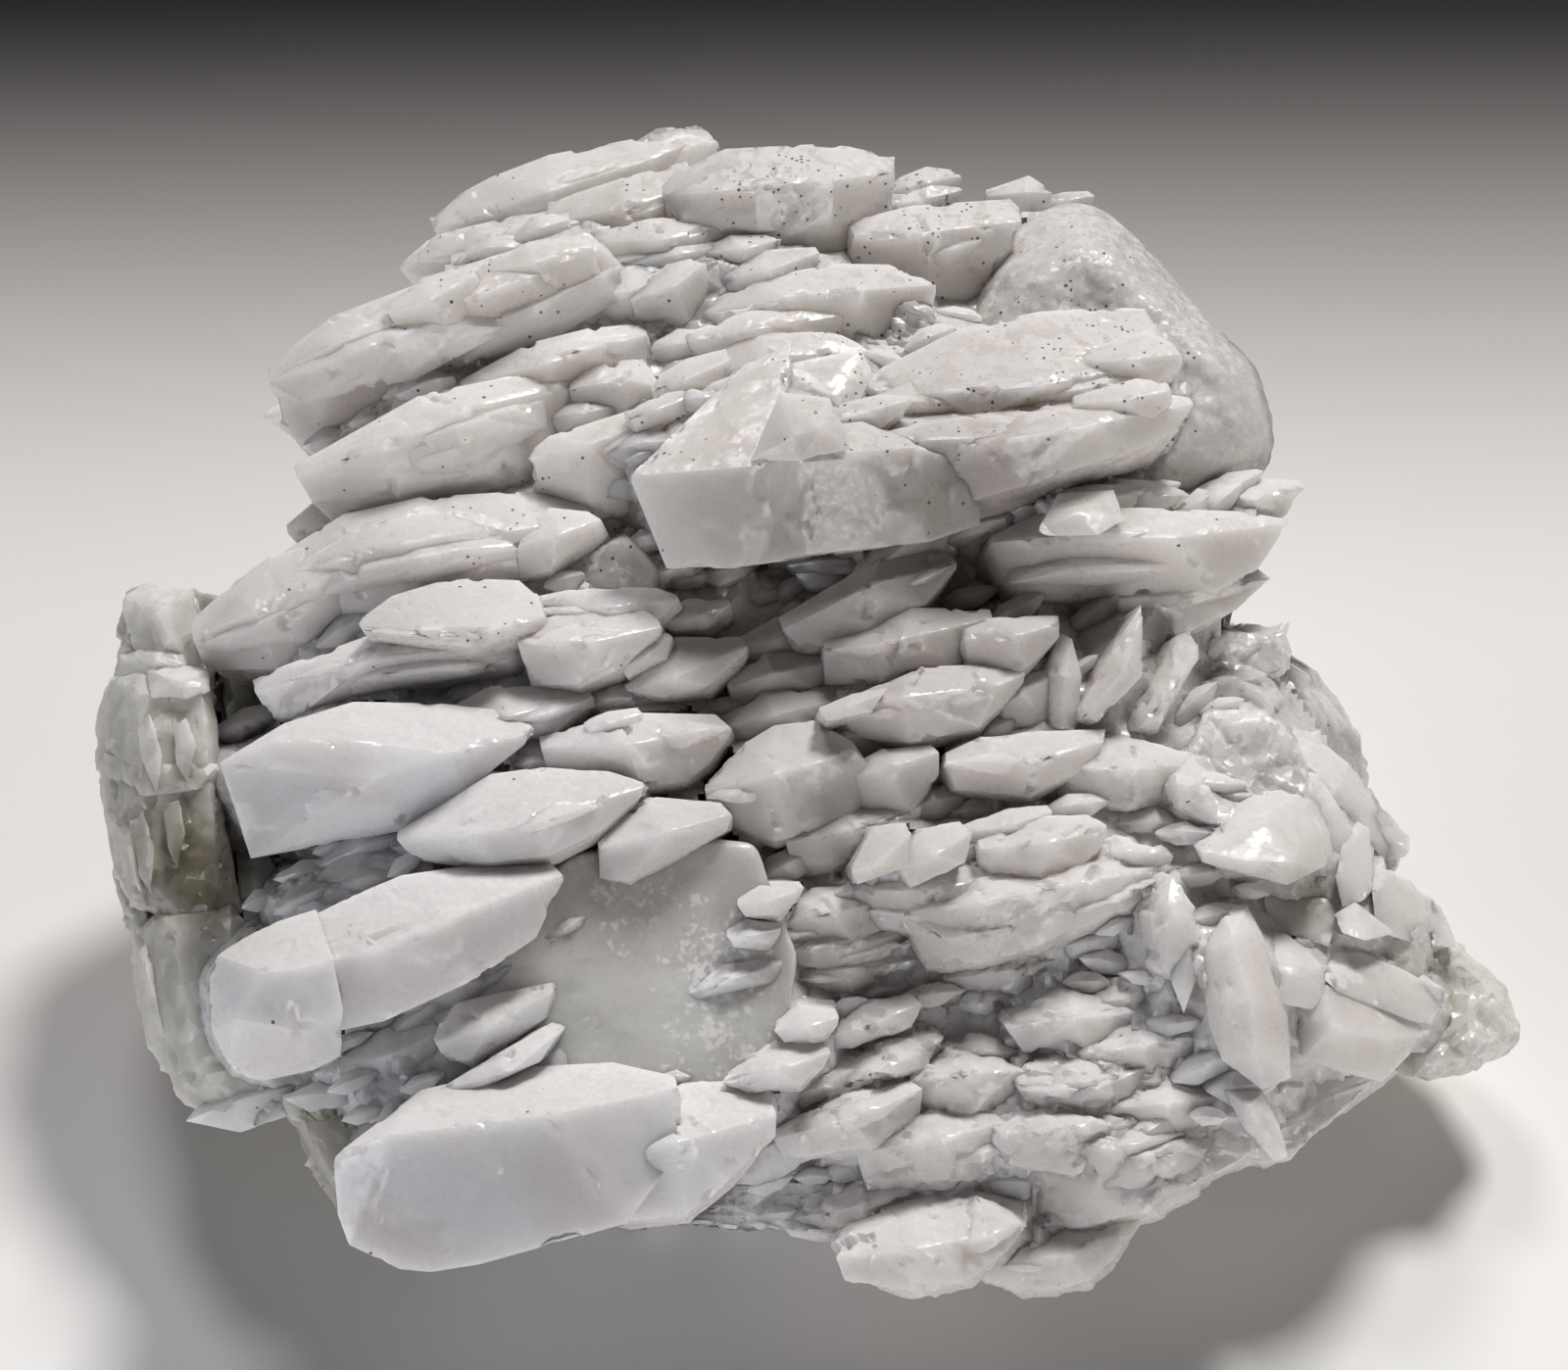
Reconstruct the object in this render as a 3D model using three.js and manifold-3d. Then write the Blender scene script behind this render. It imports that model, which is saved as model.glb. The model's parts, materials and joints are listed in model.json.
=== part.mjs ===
// Poker chip calcite: flat, bevelled calcite crystals stacked in rows like spilled chips, grown together
// with the broken mass of calcite that carries them. It is one piece of mineral, so it is one mesh.
// Millimetres, +Z up. The origin is on the flat broken underside that the piece rests on.
import * as THREE from "three";
import { ConvexGeometry } from "three/addons/geometries/ConvexGeometry.js";
import { mergeVertices } from "three/addons/utils/BufferGeometryUtils.js";
import Module from "manifold-3d";

// Driving dimensions. The crystals grow on one broad face that leans back from the upright.
const faceWidth = 133.3; // width of the front view below, which frames a piece about 125 mm wide
const viewRise = THREE.MathUtils.degToRad(45); // the front view looks down at the face from this high
const faceCentre = new THREE.Vector3(-1.5, -2.7, 33); // the middle of the face
const eyeDistance = 300; // the front view is what an eye this far in front of the face sees
const recede = 0.25; // the face falls back this far from the eye for each millimetre up the view
const rootLevel = -12; // crystals run back to this level behind the face, inside the mass
const convergence = 0.24; // and lean this share of the way towards the middle of the mass

// The front view is a drawing 1600 points wide, with x to the right and y down from its top left corner.
const viewWidth = 1600;
const viewMiddle = { x: 800, y: 699 };
const massMiddle = { x: 790, y: 760 };
const pointsPerMillimetre = viewWidth / faceWidth;

const towardsEye = new THREE.Vector3(0, -Math.cos(viewRise), Math.sin(viewRise));
const across = new THREE.Vector3(1, 0, 0);
const upView = new THREE.Vector3().crossVectors(towardsEye, across);

// The place that the front view shows at a point of the drawing, a level in millimetres out from the face.
function onFace([x, y], level) {
  const up = (viewMiddle.y - y) / pointsPerMillimetre;
  const nearness = level - recede * up;
  const scale = (1 - nearness / eyeDistance) / pointsPerMillimetre;
  return faceCentre
    .clone()
    .addScaledVector(across, (x - viewMiddle.x) * scale)
    .addScaledVector(upView, (viewMiddle.y - y) * scale)
    .addScaledVector(towardsEye, nearness);
}

// A repeatable number from -1 to 1 for a piece and a corner of it.
function wobble(seed, corner) {
  const turned = Math.sin(seed * 12.9898 + corner * 78.233) * 43758.5453;
  return 2 * (turned - Math.floor(turned)) - 1;
}

// Each crystal as the front view shows it: the top edge of its upper bevel, its sharp rim, and the low edge of
// its lower bevel, each from left to right, with the level its rim stands out to.
const crystals = [
  // Crown of the upper left
  {
    top: [[438, 222], [460, 203], [500, 181], [560, 158], [650, 141]],
    rim: [[443, 234], [560, 196], [655, 166], [700, 148]],
    low: [[446, 240], [540, 228], [640, 208], [700, 172]],
    out: -6,
  },
  {
    top: [[640, 150], [670, 131], [715, 127]],
    rim: [[648, 166], [733, 146]],
    low: [[655, 186], [705, 170], [733, 148]],
    out: -9,
  },
  {
    top: [[424, 258], [442, 240], [560, 212], [640, 192]],
    rim: [[427, 266], [540, 243], [700, 200]],
    low: [[432, 281], [510, 264], [600, 242], [700, 212]],
    out: -3,
  },
  {
    top: [[560, 206], [640, 180], [700, 165]],
    rim: [[556, 228], [640, 212], [722, 185]],
    low: [[590, 246], [660, 236], [722, 212]],
    out: -2,
  },
  {
    top: [[675, 190], [690, 175], [740, 152], [800, 150]],
    rim: [[680, 197], [740, 193], [808, 172]],
    low: [[690, 238], [722, 256], [800, 218], [812, 180]],
    out: 3,
  },
  {
    top: [[800, 148], [850, 146], [890, 150], [913, 162]],
    rim: [[795, 165], [850, 182], [908, 176]],
    low: [[740, 240], [800, 238], [850, 222], [875, 200], [913, 185]],
    out: 0,
  },
  {
    top: [[600, 236], [660, 222], [740, 214]],
    rim: [[600, 248], [680, 244], [762, 226]],
    low: [[620, 290], [700, 272], [760, 246]],
    out: 1,
  },
  // Small chips along the top
  {
    top: [[895, 190], [945, 170], [978, 174]],
    rim: [[897, 197], [940, 188], [981, 180]],
    low: [[905, 212], [950, 204], [981, 184]],
    out: -7,
  },
  {
    top: [[878, 214], [950, 189], [980, 190]],
    rim: [[878, 220], [930, 206], [982, 194]],
    low: [[885, 240], [940, 226], [980, 200]],
    out: -5,
  },
  {
    top: [[1006, 194], [1050, 179], [1070, 192]],
    rim: [[1007, 200], [1045, 196], [1074, 197]],
    low: [[1010, 214], [1045, 218], [1072, 206]],
    out: -8,
  },
  // Upper middle
  {
    top: [[865, 226], [930, 210], [1030, 203], [1041, 212]],
    rim: [[872, 240], [945, 237], [1042, 226]],
    low: [[880, 264], [950, 302], [1022, 258], [1043, 232]],
    out: 1,
  },
  {
    top: [[716, 312], [770, 285], [850, 269], [915, 270]],
    rim: [[718, 319], [800, 303], [880, 296], [955, 291]],
    low: [[740, 338], [800, 346], [875, 349], [905, 338], [955, 297]],
    out: 4,
  },
  {
    top: [[722, 252], [745, 240], [795, 240]],
    rim: [[722, 258], [760, 254], [798, 244]],
    low: [[730, 274], [790, 262]],
    out: 1,
  },
  {
    top: [[735, 278], [780, 255], [832, 252]],
    rim: [[736, 284], [785, 276], [836, 258]],
    low: [[745, 300], [800, 290], [835, 268]],
    out: 2,
  },
  {
    top: [[640, 300], [680, 270], [712, 262]],
    rim: [[644, 308], [690, 292], [720, 268]],
    low: [[655, 330], [700, 316], [722, 290]],
    out: 3,
  },
  {
    top: [[700, 340], [760, 318], [840, 312]],
    rim: [[702, 348], [770, 336], [860, 322]],
    low: [[715, 372], [790, 362], [860, 346]],
    out: 5,
  },
  {
    top: [[700, 380], [770, 337], [845, 335], [875, 350]],
    rim: [[706, 390], [790, 364], [886, 358]],
    low: [[770, 424], [815, 418], [857, 428], [893, 380]],
    out: 7,
  },
  {
    top: [[664, 388], [700, 366], [740, 356]],
    rim: [[664, 396], [700, 388], [745, 368]],
    low: [[672, 420], [740, 396]],
    out: 7,
  },
  // Upper left
  {
    top: [[273, 378], [300, 352], [340, 322], [400, 303], [500, 262], [600, 234]],
    rim: [[273, 384], [340, 352], [430, 324], [540, 284], [612, 254]],
    low: [[285, 432], [323, 460], [400, 424], [520, 364], [620, 322], [665, 298]],
    out: 7,
  },
  {
    top: [[392, 312], [430, 284], [480, 268]],
    rim: [[396, 320], [440, 306], [486, 280]],
    low: [[410, 342], [460, 330], [484, 300]],
    out: 7,
  },
  {
    top: [[498, 268], [540, 246], [600, 240]],
    rim: [[498, 276], [545, 268], [604, 252]],
    low: [[510, 296], [560, 292], [604, 268]],
    out: 6,
  },
  {
    top: [[590, 296], [640, 272], [700, 262]],
    rim: [[590, 304], [640, 298], [712, 272]],
    low: [[600, 334], [650, 330], [712, 296]],
    out: 2,
  },
  {
    top: [[470, 388], [540, 350], [600, 335], [655, 330]],
    rim: [[468, 396], [560, 370], [662, 345]],
    low: [[480, 412], [560, 402], [662, 366]],
    out: 5,
  },
  {
    top: [[300, 475], [360, 443], [430, 402], [520, 384], [585, 376]],
    rim: [[302, 484], [390, 454], [480, 416], [588, 392]],
    low: [[318, 512], [400, 505], [520, 482], [565, 462], [592, 428]],
    out: 8,
  },
  {
    top: [[582, 380], [620, 365], [652, 360]],
    rim: [[580, 396], [640, 388], [675, 395]],
    low: [[590, 438], [640, 424], [674, 400]],
    out: 5,
  },
  {
    top: [[540, 462], [560, 445], [640, 422], [700, 400]],
    rim: [[537, 468], [600, 454], [704, 414]],
    low: [[545, 500], [600, 512], [652, 510], [714, 432]],
    out: 8,
  },
  {
    top: [[636, 420], [660, 404], [700, 398]],
    rim: [[636, 426], [670, 418], [706, 404]],
    low: [[650, 440], [706, 420]],
    out: 9,
  },
  {
    top: [[292, 536], [320, 512], [400, 503]],
    rim: [[294, 545], [350, 530], [408, 514]],
    low: [[310, 562], [400, 546]],
    out: -1,
  },
  // The large crystal of the middle, the long blades beside it and the clear one that sits on it
  {
    top: [[640, 498], [660, 456], [690, 420], [740, 380], [812, 350]],
    rim: [[646, 514], [700, 494], [765, 474], [800, 410]],
    low: [[655, 545], [688, 580], [740, 574], [780, 500]],
    out: 15,
  },
  {
    top: [[735, 480], [800, 462], [870, 448], [930, 436]],
    rim: [[700, 505], [780, 510], [860, 500], [934, 464]],
    low: [[690, 578], [745, 581], [800, 576], [862, 561], [917, 531], [934, 495]],
    out: 15,
  },
  {
    top: [[776, 436], [800, 400], [845, 408]],
    rim: [[775, 446], [815, 452], [857, 430]],
    low: [[766, 472], [815, 478], [868, 474]],
    out: 17,
  },
  {
    top: [[880, 392], [900, 375], [980, 335], [1060, 318], [1130, 314], [1168, 315]],
    rim: [[878, 402], [960, 402], [1060, 394], [1192, 368]],
    low: [[890, 425], [1000, 430], [1080, 412], [1190, 396], [1206, 368]],
    out: 10,
  },
  {
    top: [[862, 446], [885, 425], [1000, 424], [1160, 396], [1214, 406]],
    rim: [[862, 456], [1000, 452], [1120, 432], [1218, 413]],
    low: [[868, 532], [922, 531], [1050, 494], [1150, 462], [1202, 440]],
    out: 11,
  },
  {
    top: [[1100, 360], [1170, 336], [1196, 350]],
    rim: [[1100, 372], [1160, 366], [1205, 362]],
    low: [[1110, 396], [1180, 392], [1207, 372]],
    out: 9,
  },
  {
    top: [[905, 540], [1000, 508], [1150, 462]],
    rim: [[905, 552], [1020, 530], [1195, 462]],
    low: [[920, 590], [1020, 574], [1180, 492]],
    out: 2,
  },
  // Right of the middle
  {
    top: [[1012, 547], [1065, 520], [1165, 518], [1270, 522], [1313, 530]],
    rim: [[1012, 554], [1070, 548], [1200, 549], [1314, 535]],
    low: [[1025, 582], [1035, 613], [1110, 608], [1240, 603], [1284, 580]],
    out: 9,
  },
  {
    top: [[1062, 534], [1072, 519], [1140, 500]],
    rim: [[1060, 541], [1100, 544], [1156, 531]],
    low: [[1062, 545], [1105, 549], [1156, 536]],
    out: 10.5,
  },
  {
    top: [[1060, 508], [1090, 494], [1167, 495]],
    rim: [[1058, 514], [1110, 512], [1168, 502]],
    low: [[1070, 530], [1150, 526]],
    out: 7,
  },
  {
    top: [[1226, 498], [1270, 487], [1325, 490]],
    rim: [[1224, 508], [1280, 510], [1331, 498]],
    low: [[1236, 530], [1312, 526]],
    out: -1,
  },
  {
    top: [[1080, 600], [1180, 590], [1280, 578]],
    rim: [[1080, 612], [1180, 610], [1296, 590]],
    low: [[1100, 650], [1200, 650], [1262, 622]],
    out: 4,
  },
  {
    top: [[1092, 640], [1104, 606], [1186, 588]],
    rim: [[1098, 700], [1150, 660], [1192, 600]],
    low: [[1112, 738], [1165, 738], [1192, 645]],
    out: 5,
  },
  {
    top: [[1104, 722], [1140, 655], [1165, 616]],
    rim: [[1108, 730], [1148, 682], [1167, 622]],
    low: [[1120, 736], [1165, 690]],
    out: 9,
  },
  {
    top: [[1160, 736], [1196, 652], [1214, 643]],
    rim: [[1163, 742], [1200, 700], [1223, 658]],
    low: [[1182, 745], [1223, 672]],
    out: 7,
  },
  {
    top: [[1076, 740], [1070, 680], [1082, 646]],
    rim: [[1084, 744], [1086, 690], [1094, 652]],
    low: [[1098, 742], [1104, 690]],
    out: 7,
  },
  {
    top: [[1020, 712], [1030, 690], [1066, 684]],
    rim: [[1022, 722], [1045, 706], [1074, 692]],
    low: [[1026, 746], [1070, 742], [1076, 710]],
    out: 6,
  },
  // Rows of the middle
  {
    top: [[795, 630], [850, 600], [900, 567], [930, 560], [968, 563]],
    rim: [[800, 642], [885, 600], [976, 574]],
    low: [[820, 664], [885, 646], [945, 616], [976, 580]],
    out: 8,
  },
  {
    top: [[842, 652], [875, 642], [930, 620], [1010, 622]],
    rim: [[840, 662], [920, 652], [1013, 631]],
    low: [[842, 698], [900, 696], [980, 676], [1012, 645]],
    out: 8,
  },
  {
    top: [[985, 642], [1010, 630], [1080, 628]],
    rim: [[985, 652], [1040, 648], [1083, 636]],
    low: [[990, 692], [1040, 688], [1081, 650]],
    out: 9,
  },
  {
    top: [[852, 718], [900, 702], [940, 680], [1040, 677]],
    rim: [[858, 727], [920, 712], [1020, 699], [1046, 688]],
    low: [[870, 752], [930, 758], [1000, 742], [1044, 697]],
    out: 10,
  },
  {
    top: [[965, 768], [1000, 752], [1060, 746], [1128, 744]],
    rim: [[966, 778], [1050, 778], [1126, 757]],
    low: [[975, 806], [1050, 812], [1112, 785]],
    out: 10,
  },
  {
    top: [[1075, 762], [1100, 748], [1160, 752], [1216, 769]],
    rim: [[1078, 782], [1160, 786], [1220, 780]],
    low: [[1080, 812], [1150, 824], [1224, 822]],
    out: 9,
  },
  {
    top: [[718, 800], [760, 758], [790, 740], [830, 735], [870, 757]],
    rim: [[720, 808], [790, 790], [874, 768]],
    low: [[725, 836], [790, 858], [870, 838], [900, 800]],
    out: 11,
  },
  {
    top: [[862, 784], [900, 764], [950, 760]],
    rim: [[864, 794], [905, 784], [958, 768]],
    low: [[872, 836], [930, 830], [958, 790]],
    out: 9,
  },
  {
    top: [[732, 868], [760, 854], [795, 852]],
    rim: [[732, 876], [770, 868], [802, 858]],
    low: [[740, 892], [796, 880]],
    out: 4,
  },
  {
    top: [[800, 850], [860, 826], [930, 812]],
    rim: [[802, 860], [870, 846], [940, 824]],
    low: [[812, 896], [880, 884], [940, 850]],
    out: 8,
  },
  {
    top: [[985, 842], [1030, 826], [1068, 822]],
    rim: [[985, 850], [1030, 844], [1074, 828]],
    low: [[995, 870], [1070, 850]],
    out: 10,
  },
  {
    top: [[998, 858], [1070, 833], [1110, 832], [1128, 843]],
    rim: [[1000, 866], [1070, 860], [1130, 847]],
    low: [[1006, 896], [1060, 900], [1105, 884], [1128, 856]],
    out: 12,
  },
  {
    top: [[870, 884], [890, 843], [925, 840]],
    rim: [[870, 890], [900, 880], [930, 850]],
    low: [[876, 902], [925, 884]],
    out: 14,
  },
  {
    top: [[915, 880], [940, 846], [980, 838]],
    rim: [[918, 888], [955, 872], [992, 850]],
    low: [[930, 906], [985, 880]],
    out: 13,
  },
  {
    top: [[880, 898], [960, 880], [1060, 858]],
    rim: [[872, 910], [960, 908], [1080, 878]],
    low: [[860, 940], [930, 950], [1040, 930], [1100, 880]],
    out: 10,
  },
  {
    top: [[913, 922], [1000, 896], [1130, 862], [1200, 880]],
    rim: [[916, 932], [1000, 920], [1110, 899], [1203, 885]],
    low: [[925, 946], [945, 987], [1010, 982], [1060, 964], [1152, 927], [1201, 890]],
    out: 12,
  },
  {
    top: [[1110, 866], [1140, 852], [1190, 866]],
    rim: [[1112, 874], [1150, 868], [1198, 874]],
    low: [[1120, 900], [1190, 896]],
    out: 9,
  },
  // Small chips under them
  {
    top: [[766, 936], [830, 906], [920, 900]],
    rim: [[766, 948], [850, 932], [936, 914]],
    low: [[775, 966], [870, 962], [936, 934]],
    out: 8,
  },
  {
    top: [[770, 966], [850, 948], [930, 940]],
    rim: [[772, 975], [850, 966], [938, 950]],
    low: [[780, 990], [860, 990], [936, 972]],
    out: 7,
  },
  {
    top: [[790, 990], [850, 972], [935, 970]],
    rim: [[792, 998], [860, 990], [940, 980]],
    low: [[800, 1014], [870, 1014], [938, 1000]],
    out: 6,
  },
  {
    top: [[940, 992], [1020, 968], [1100, 940]],
    rim: [[942, 1003], [1030, 990], [1110, 952]],
    low: [[955, 1024], [1040, 1014], [1108, 980]],
    out: 6,
  },
  {
    top: [[1060, 962], [1100, 938], [1168, 936]],
    rim: [[1062, 970], [1110, 962], [1174, 944]],
    low: [[1070, 990], [1168, 968]],
    out: 6,
  },
  {
    top: [[838, 1052], [880, 1026], [930, 1016]],
    rim: [[838, 1060], [880, 1050], [940, 1025]],
    low: [[850, 1074], [930, 1048]],
    out: 8,
  },
  {
    top: [[842, 1104], [900, 1066], [955, 1054]],
    rim: [[842, 1112], [900, 1094], [963, 1060]],
    low: [[852, 1124], [950, 1090]],
    out: 8,
  },
  {
    top: [[745, 1098], [770, 1080], [808, 1076]],
    rim: [[745, 1108], [780, 1100], [814, 1084]],
    low: [[755, 1132], [798, 1142], [812, 1110]],
    out: 8,
  },
  {
    top: [[806, 1108], [830, 1086], [878, 1078]],
    rim: [[806, 1120], [840, 1108], [884, 1086]],
    low: [[815, 1132], [870, 1110]],
    out: 7,
  },
  {
    top: [[790, 1152], [870, 1118], [932, 1104]],
    rim: [[790, 1162], [870, 1142], [940, 1112]],
    low: [[800, 1182], [890, 1172], [938, 1140]],
    out: 9,
  },
  {
    top: [[930, 1092], [970, 1066], [1048, 1086]],
    rim: [[928, 1104], [980, 1096], [1052, 1094]],
    low: [[935, 1130], [1000, 1138], [1050, 1112]],
    out: 8,
  },
  {
    top: [[1026, 1052], [1060, 1022], [1146, 1024]],
    rim: [[1026, 1062], [1080, 1050], [1152, 1032]],
    low: [[1030, 1092], [1080, 1098], [1146, 1066]],
    out: 7,
  },
  {
    top: [[1066, 1112], [1110, 1082], [1162, 1084]],
    rim: [[1066, 1120], [1120, 1112], [1168, 1090]],
    low: [[1076, 1138], [1160, 1120]],
    out: 9,
  },
  {
    top: [[1108, 1018], [1140, 1000], [1184, 984]],
    rim: [[1108, 1026], [1150, 1018], [1194, 992]],
    low: [[1120, 1050], [1170, 1044], [1196, 1010]],
    out: 7,
  },
  {
    top: [[1062, 1140], [1100, 1129], [1165, 1148], [1210, 1141]],
    rim: [[1056, 1162], [1140, 1174], [1215, 1157]],
    low: [[1038, 1245], [1100, 1252], [1175, 1238], [1224, 1214], [1222, 1180]],
    out: 9,
  },
  {
    top: [[875, 1165], [950, 1132], [1040, 1120]],
    rim: [[872, 1178], [960, 1162], [1066, 1138]],
    low: [[885, 1215], [980, 1210], [1060, 1180]],
    out: 8,
  },
  {
    top: [[736, 1200], [800, 1172], [880, 1160]],
    rim: [[736, 1208], [810, 1194], [890, 1170]],
    low: [[745, 1224], [830, 1226], [888, 1196]],
    out: 2,
  },
  {
    top: [[796, 1236], [880, 1204], [950, 1190]],
    rim: [[796, 1246], [880, 1230], [962, 1202]],
    low: [[806, 1262], [880, 1266], [960, 1236]],
    out: 4,
  },
  {
    top: [[868, 1262], [930, 1240], [1000, 1219], [1048, 1236]],
    rim: [[852, 1284], [940, 1274], [1050, 1250]],
    low: [[862, 1306], [930, 1318], [990, 1306], [1030, 1276]],
    out: 9,
  },
  {
    top: [[1030, 1274], [1090, 1240], [1160, 1236]],
    rim: [[1016, 1290], [1090, 1282], [1164, 1248]],
    low: [[1002, 1306], [1040, 1317], [1082, 1315], [1112, 1307], [1134, 1288], [1154, 1260]],
    out: 5,
  },
  // Rows of the left side
  {
    top: [[275, 572], [350, 525], [430, 507], [520, 502], [580, 503]],
    rim: [[288, 588], [345, 573], [440, 556], [545, 538], [602, 522]],
    low: [[300, 630], [380, 628], [450, 612], [545, 590], [606, 532]],
    out: 9,
  },
  {
    top: [[196, 632], [235, 597], [275, 568], [310, 558]],
    rim: [[197, 652], [260, 622], [345, 582], [430, 572]],
    low: [[210, 683], [285, 683], [350, 650], [440, 606]],
    out: 7,
  },
  {
    top: [[530, 545], [560, 518], [600, 522]],
    rim: [[528, 556], [570, 546], [613, 530]],
    low: [[530, 590], [562, 582], [610, 536]],
    out: 8,
  },
  {
    top: [[370, 630], [400, 608], [460, 590], [530, 592], [548, 606]],
    rim: [[366, 637], [430, 643], [500, 643], [556, 630]],
    low: [[375, 652], [480, 660], [556, 642]],
    out: 12,
  },
  {
    top: [[258, 694], [290, 679], [400, 640], [545, 638]],
    rim: [[260, 706], [380, 673], [480, 663], [560, 655]],
    low: [[275, 731], [300, 734], [345, 714], [460, 703], [560, 694]],
    out: 9,
  },
  {
    top: [[530, 644], [560, 630], [610, 616], [650, 618], [670, 630]],
    rim: [[528, 656], [600, 656], [675, 640]],
    low: [[540, 698], [592, 699], [630, 683], [674, 646]],
    out: 11,
  },
  {
    top: [[550, 608], [600, 598], [670, 600], [690, 607]],
    rim: [[548, 616], [620, 620], [693, 612]],
    low: [[555, 630], [620, 638], [672, 632]],
    out: 9,
  },
  {
    top: [[634, 676], [660, 650], [682, 646]],
    rim: [[634, 682], [660, 670], [686, 650]],
    low: [[640, 692], [680, 672]],
    out: 8,
  },
  {
    top: [[672, 630], [700, 610], [744, 612]],
    rim: [[674, 637], [710, 629], [746, 617]],
    low: [[688, 644], [722, 641]],
    out: 5,
  },
  {
    top: [[635, 697], [665, 670], [690, 650], [756, 650]],
    rim: [[640, 705], [690, 691], [763, 660]],
    low: [[678, 712], [722, 699], [761, 666]],
    out: 8,
  },
  {
    top: [[436, 735], [455, 724], [500, 700], [590, 697]],
    rim: [[440, 740], [520, 731], [604, 710]],
    low: [[470, 752], [566, 748], [604, 716]],
    out: 9,
  },
  {
    top: [[222, 777], [262, 756], [300, 738], [372, 740]],
    rim: [[224, 785], [275, 768], [330, 761], [376, 762]],
    low: [[238, 820], [258, 878], [340, 868], [416, 828], [384, 800]],
    out: 15,
  },
  {
    top: [[290, 742], [360, 714], [450, 718], [540, 728]],
    rim: [[290, 772], [376, 784], [460, 770], [551, 747]],
    low: [[300, 860], [350, 866], [420, 848], [482, 802], [548, 758]],
    out: 13,
  },
  {
    top: [[550, 752], [600, 738], [640, 727], [730, 729]],
    rim: [[552, 763], [640, 760], [746, 743]],
    low: [[560, 792], [655, 804], [702, 797], [724, 778], [745, 750]],
    out: 11,
  },
  {
    top: [[406, 848], [440, 832], [500, 790], [550, 783], [620, 787], [654, 797]],
    rim: [[405, 857], [480, 850], [540, 839], [658, 803]],
    low: [[424, 878], [500, 880], [562, 873], [612, 848], [652, 814]],
    out: 15,
  },
  {
    top: [[610, 860], [655, 812], [735, 819]],
    rim: [[612, 867], [680, 849], [746, 831]],
    low: [[612, 896], [642, 900], [692, 873], [744, 846]],
    out: 13,
  },
  {
    top: [[320, 890], [370, 862], [420, 850]],
    rim: [[318, 905], [370, 890], [430, 868]],
    low: [[322, 940], [380, 930], [430, 900]],
    out: 8,
  },
  {
    top: [[225, 968], [250, 953], [285, 938], [350, 922]],
    rim: [[214, 998], [290, 996], [370, 972]],
    low: [[213, 1010], [215, 1052], [235, 1098], [266, 1103], [320, 1092], [348, 1080], [394, 1040]],
    out: 17,
  },
  {
    top: [[320, 934], [360, 914], [410, 893], [500, 880], [560, 878]],
    rim: [[318, 990], [380, 972], [450, 948], [540, 904], [574, 893]],
    low: [[345, 1050], [392, 1042], [422, 1017], [482, 1001], [547, 957], [575, 898]],
    out: 17,
  },
  {
    top: [[440, 1056], [462, 1024], [545, 1012], [562, 1004]],
    rim: [[444, 1064], [500, 1047], [564, 1012]],
    low: [[455, 1084], [482, 1081], [555, 1040]],
    out: 12,
  },
  {
    top: [[345, 1080], [390, 1050], [450, 1030]],
    rim: [[344, 1092], [400, 1076], [452, 1050]],
    low: [[352, 1118], [400, 1116], [452, 1086]],
    out: 10,
  },
  {
    top: [[455, 1107], [520, 1069], [558, 1047]],
    rim: [[457, 1112], [520, 1094], [571, 1054]],
    low: [[464, 1122], [550, 1084]],
    out: 13,
  },
  {
    top: [[340, 1178], [370, 1150], [430, 1110], [530, 1089], [625, 1083], [688, 1098]],
    rim: [[341, 1192], [450, 1162], [560, 1136], [692, 1108]],
    low: [
      [345, 1240], [355, 1270], [400, 1282], [408, 1295], [440, 1297], [490, 1290], [580, 1265],
      [640, 1250], [700, 1160],
    ],
    out: 16,
  },
  {
    top: [[630, 1170], [690, 1110], [768, 1100], [785, 1116]],
    rim: [[600, 1202], [690, 1166], [792, 1138]],
    low: [[575, 1240], [640, 1246], [700, 1240], [746, 1202], [764, 1180], [791, 1160]],
    out: 15,
  },
  // Right side
  {
    top: [[1180, 940], [1178, 905], [1192, 893]],
    rim: [[1186, 990], [1196, 940], [1202, 896]],
    low: [[1200, 1000], [1218, 960], [1220, 926]],
    out: 12,
  },
  {
    top: [[1318, 742], [1345, 748], [1402, 808]],
    rim: [[1314, 752], [1350, 778], [1404, 822]],
    low: [[1322, 790], [1352, 812], [1396, 836]],
    out: -1,
  },
  {
    top: [[1350, 800], [1396, 806], [1436, 852]],
    rim: [[1345, 815], [1396, 834], [1436, 868]],
    low: [[1350, 850], [1396, 880], [1420, 892]],
    out: 0,
  },
  {
    top: [[1362, 880], [1390, 860], [1412, 876]],
    rim: [[1360, 892], [1388, 890], [1416, 892]],
    low: [[1366, 920], [1410, 920]],
    out: 1,
  },
  {
    top: [[1396, 890], [1440, 898], [1464, 918]],
    rim: [[1390, 902], [1430, 918], [1466, 932]],
    low: [[1388, 948], [1430, 956], [1466, 958]],
    out: -1,
  },
  {
    top: [[1352, 974], [1400, 966], [1472, 1010]],
    rim: [[1350, 990], [1410, 998], [1474, 1026]],
    low: [[1362, 1014], [1420, 1040], [1462, 1056]],
    out: 4,
  },
  // Small crystals in the hollows between the rows
  {
    top: [[752, 652], [790, 630], [842, 626]],
    rim: [[752, 662], [795, 650], [846, 636]],
    low: [[762, 690], [840, 668]],
    out: 4,
  },
  {
    top: [[742, 690], [780, 666], [846, 664]],
    rim: [[742, 700], [790, 688], [850, 676]],
    low: [[752, 728], [845, 706]],
    out: 5,
  },
  {
    top: [[730, 734], [780, 706], [850, 700]],
    rim: [[732, 744], [790, 730], [856, 714]],
    low: [[742, 770], [850, 748]],
    out: 6,
  },
  {
    top: [[600, 660], [650, 640], [700, 640]],
    rim: [[600, 672], [650, 664], [704, 652]],
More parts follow.
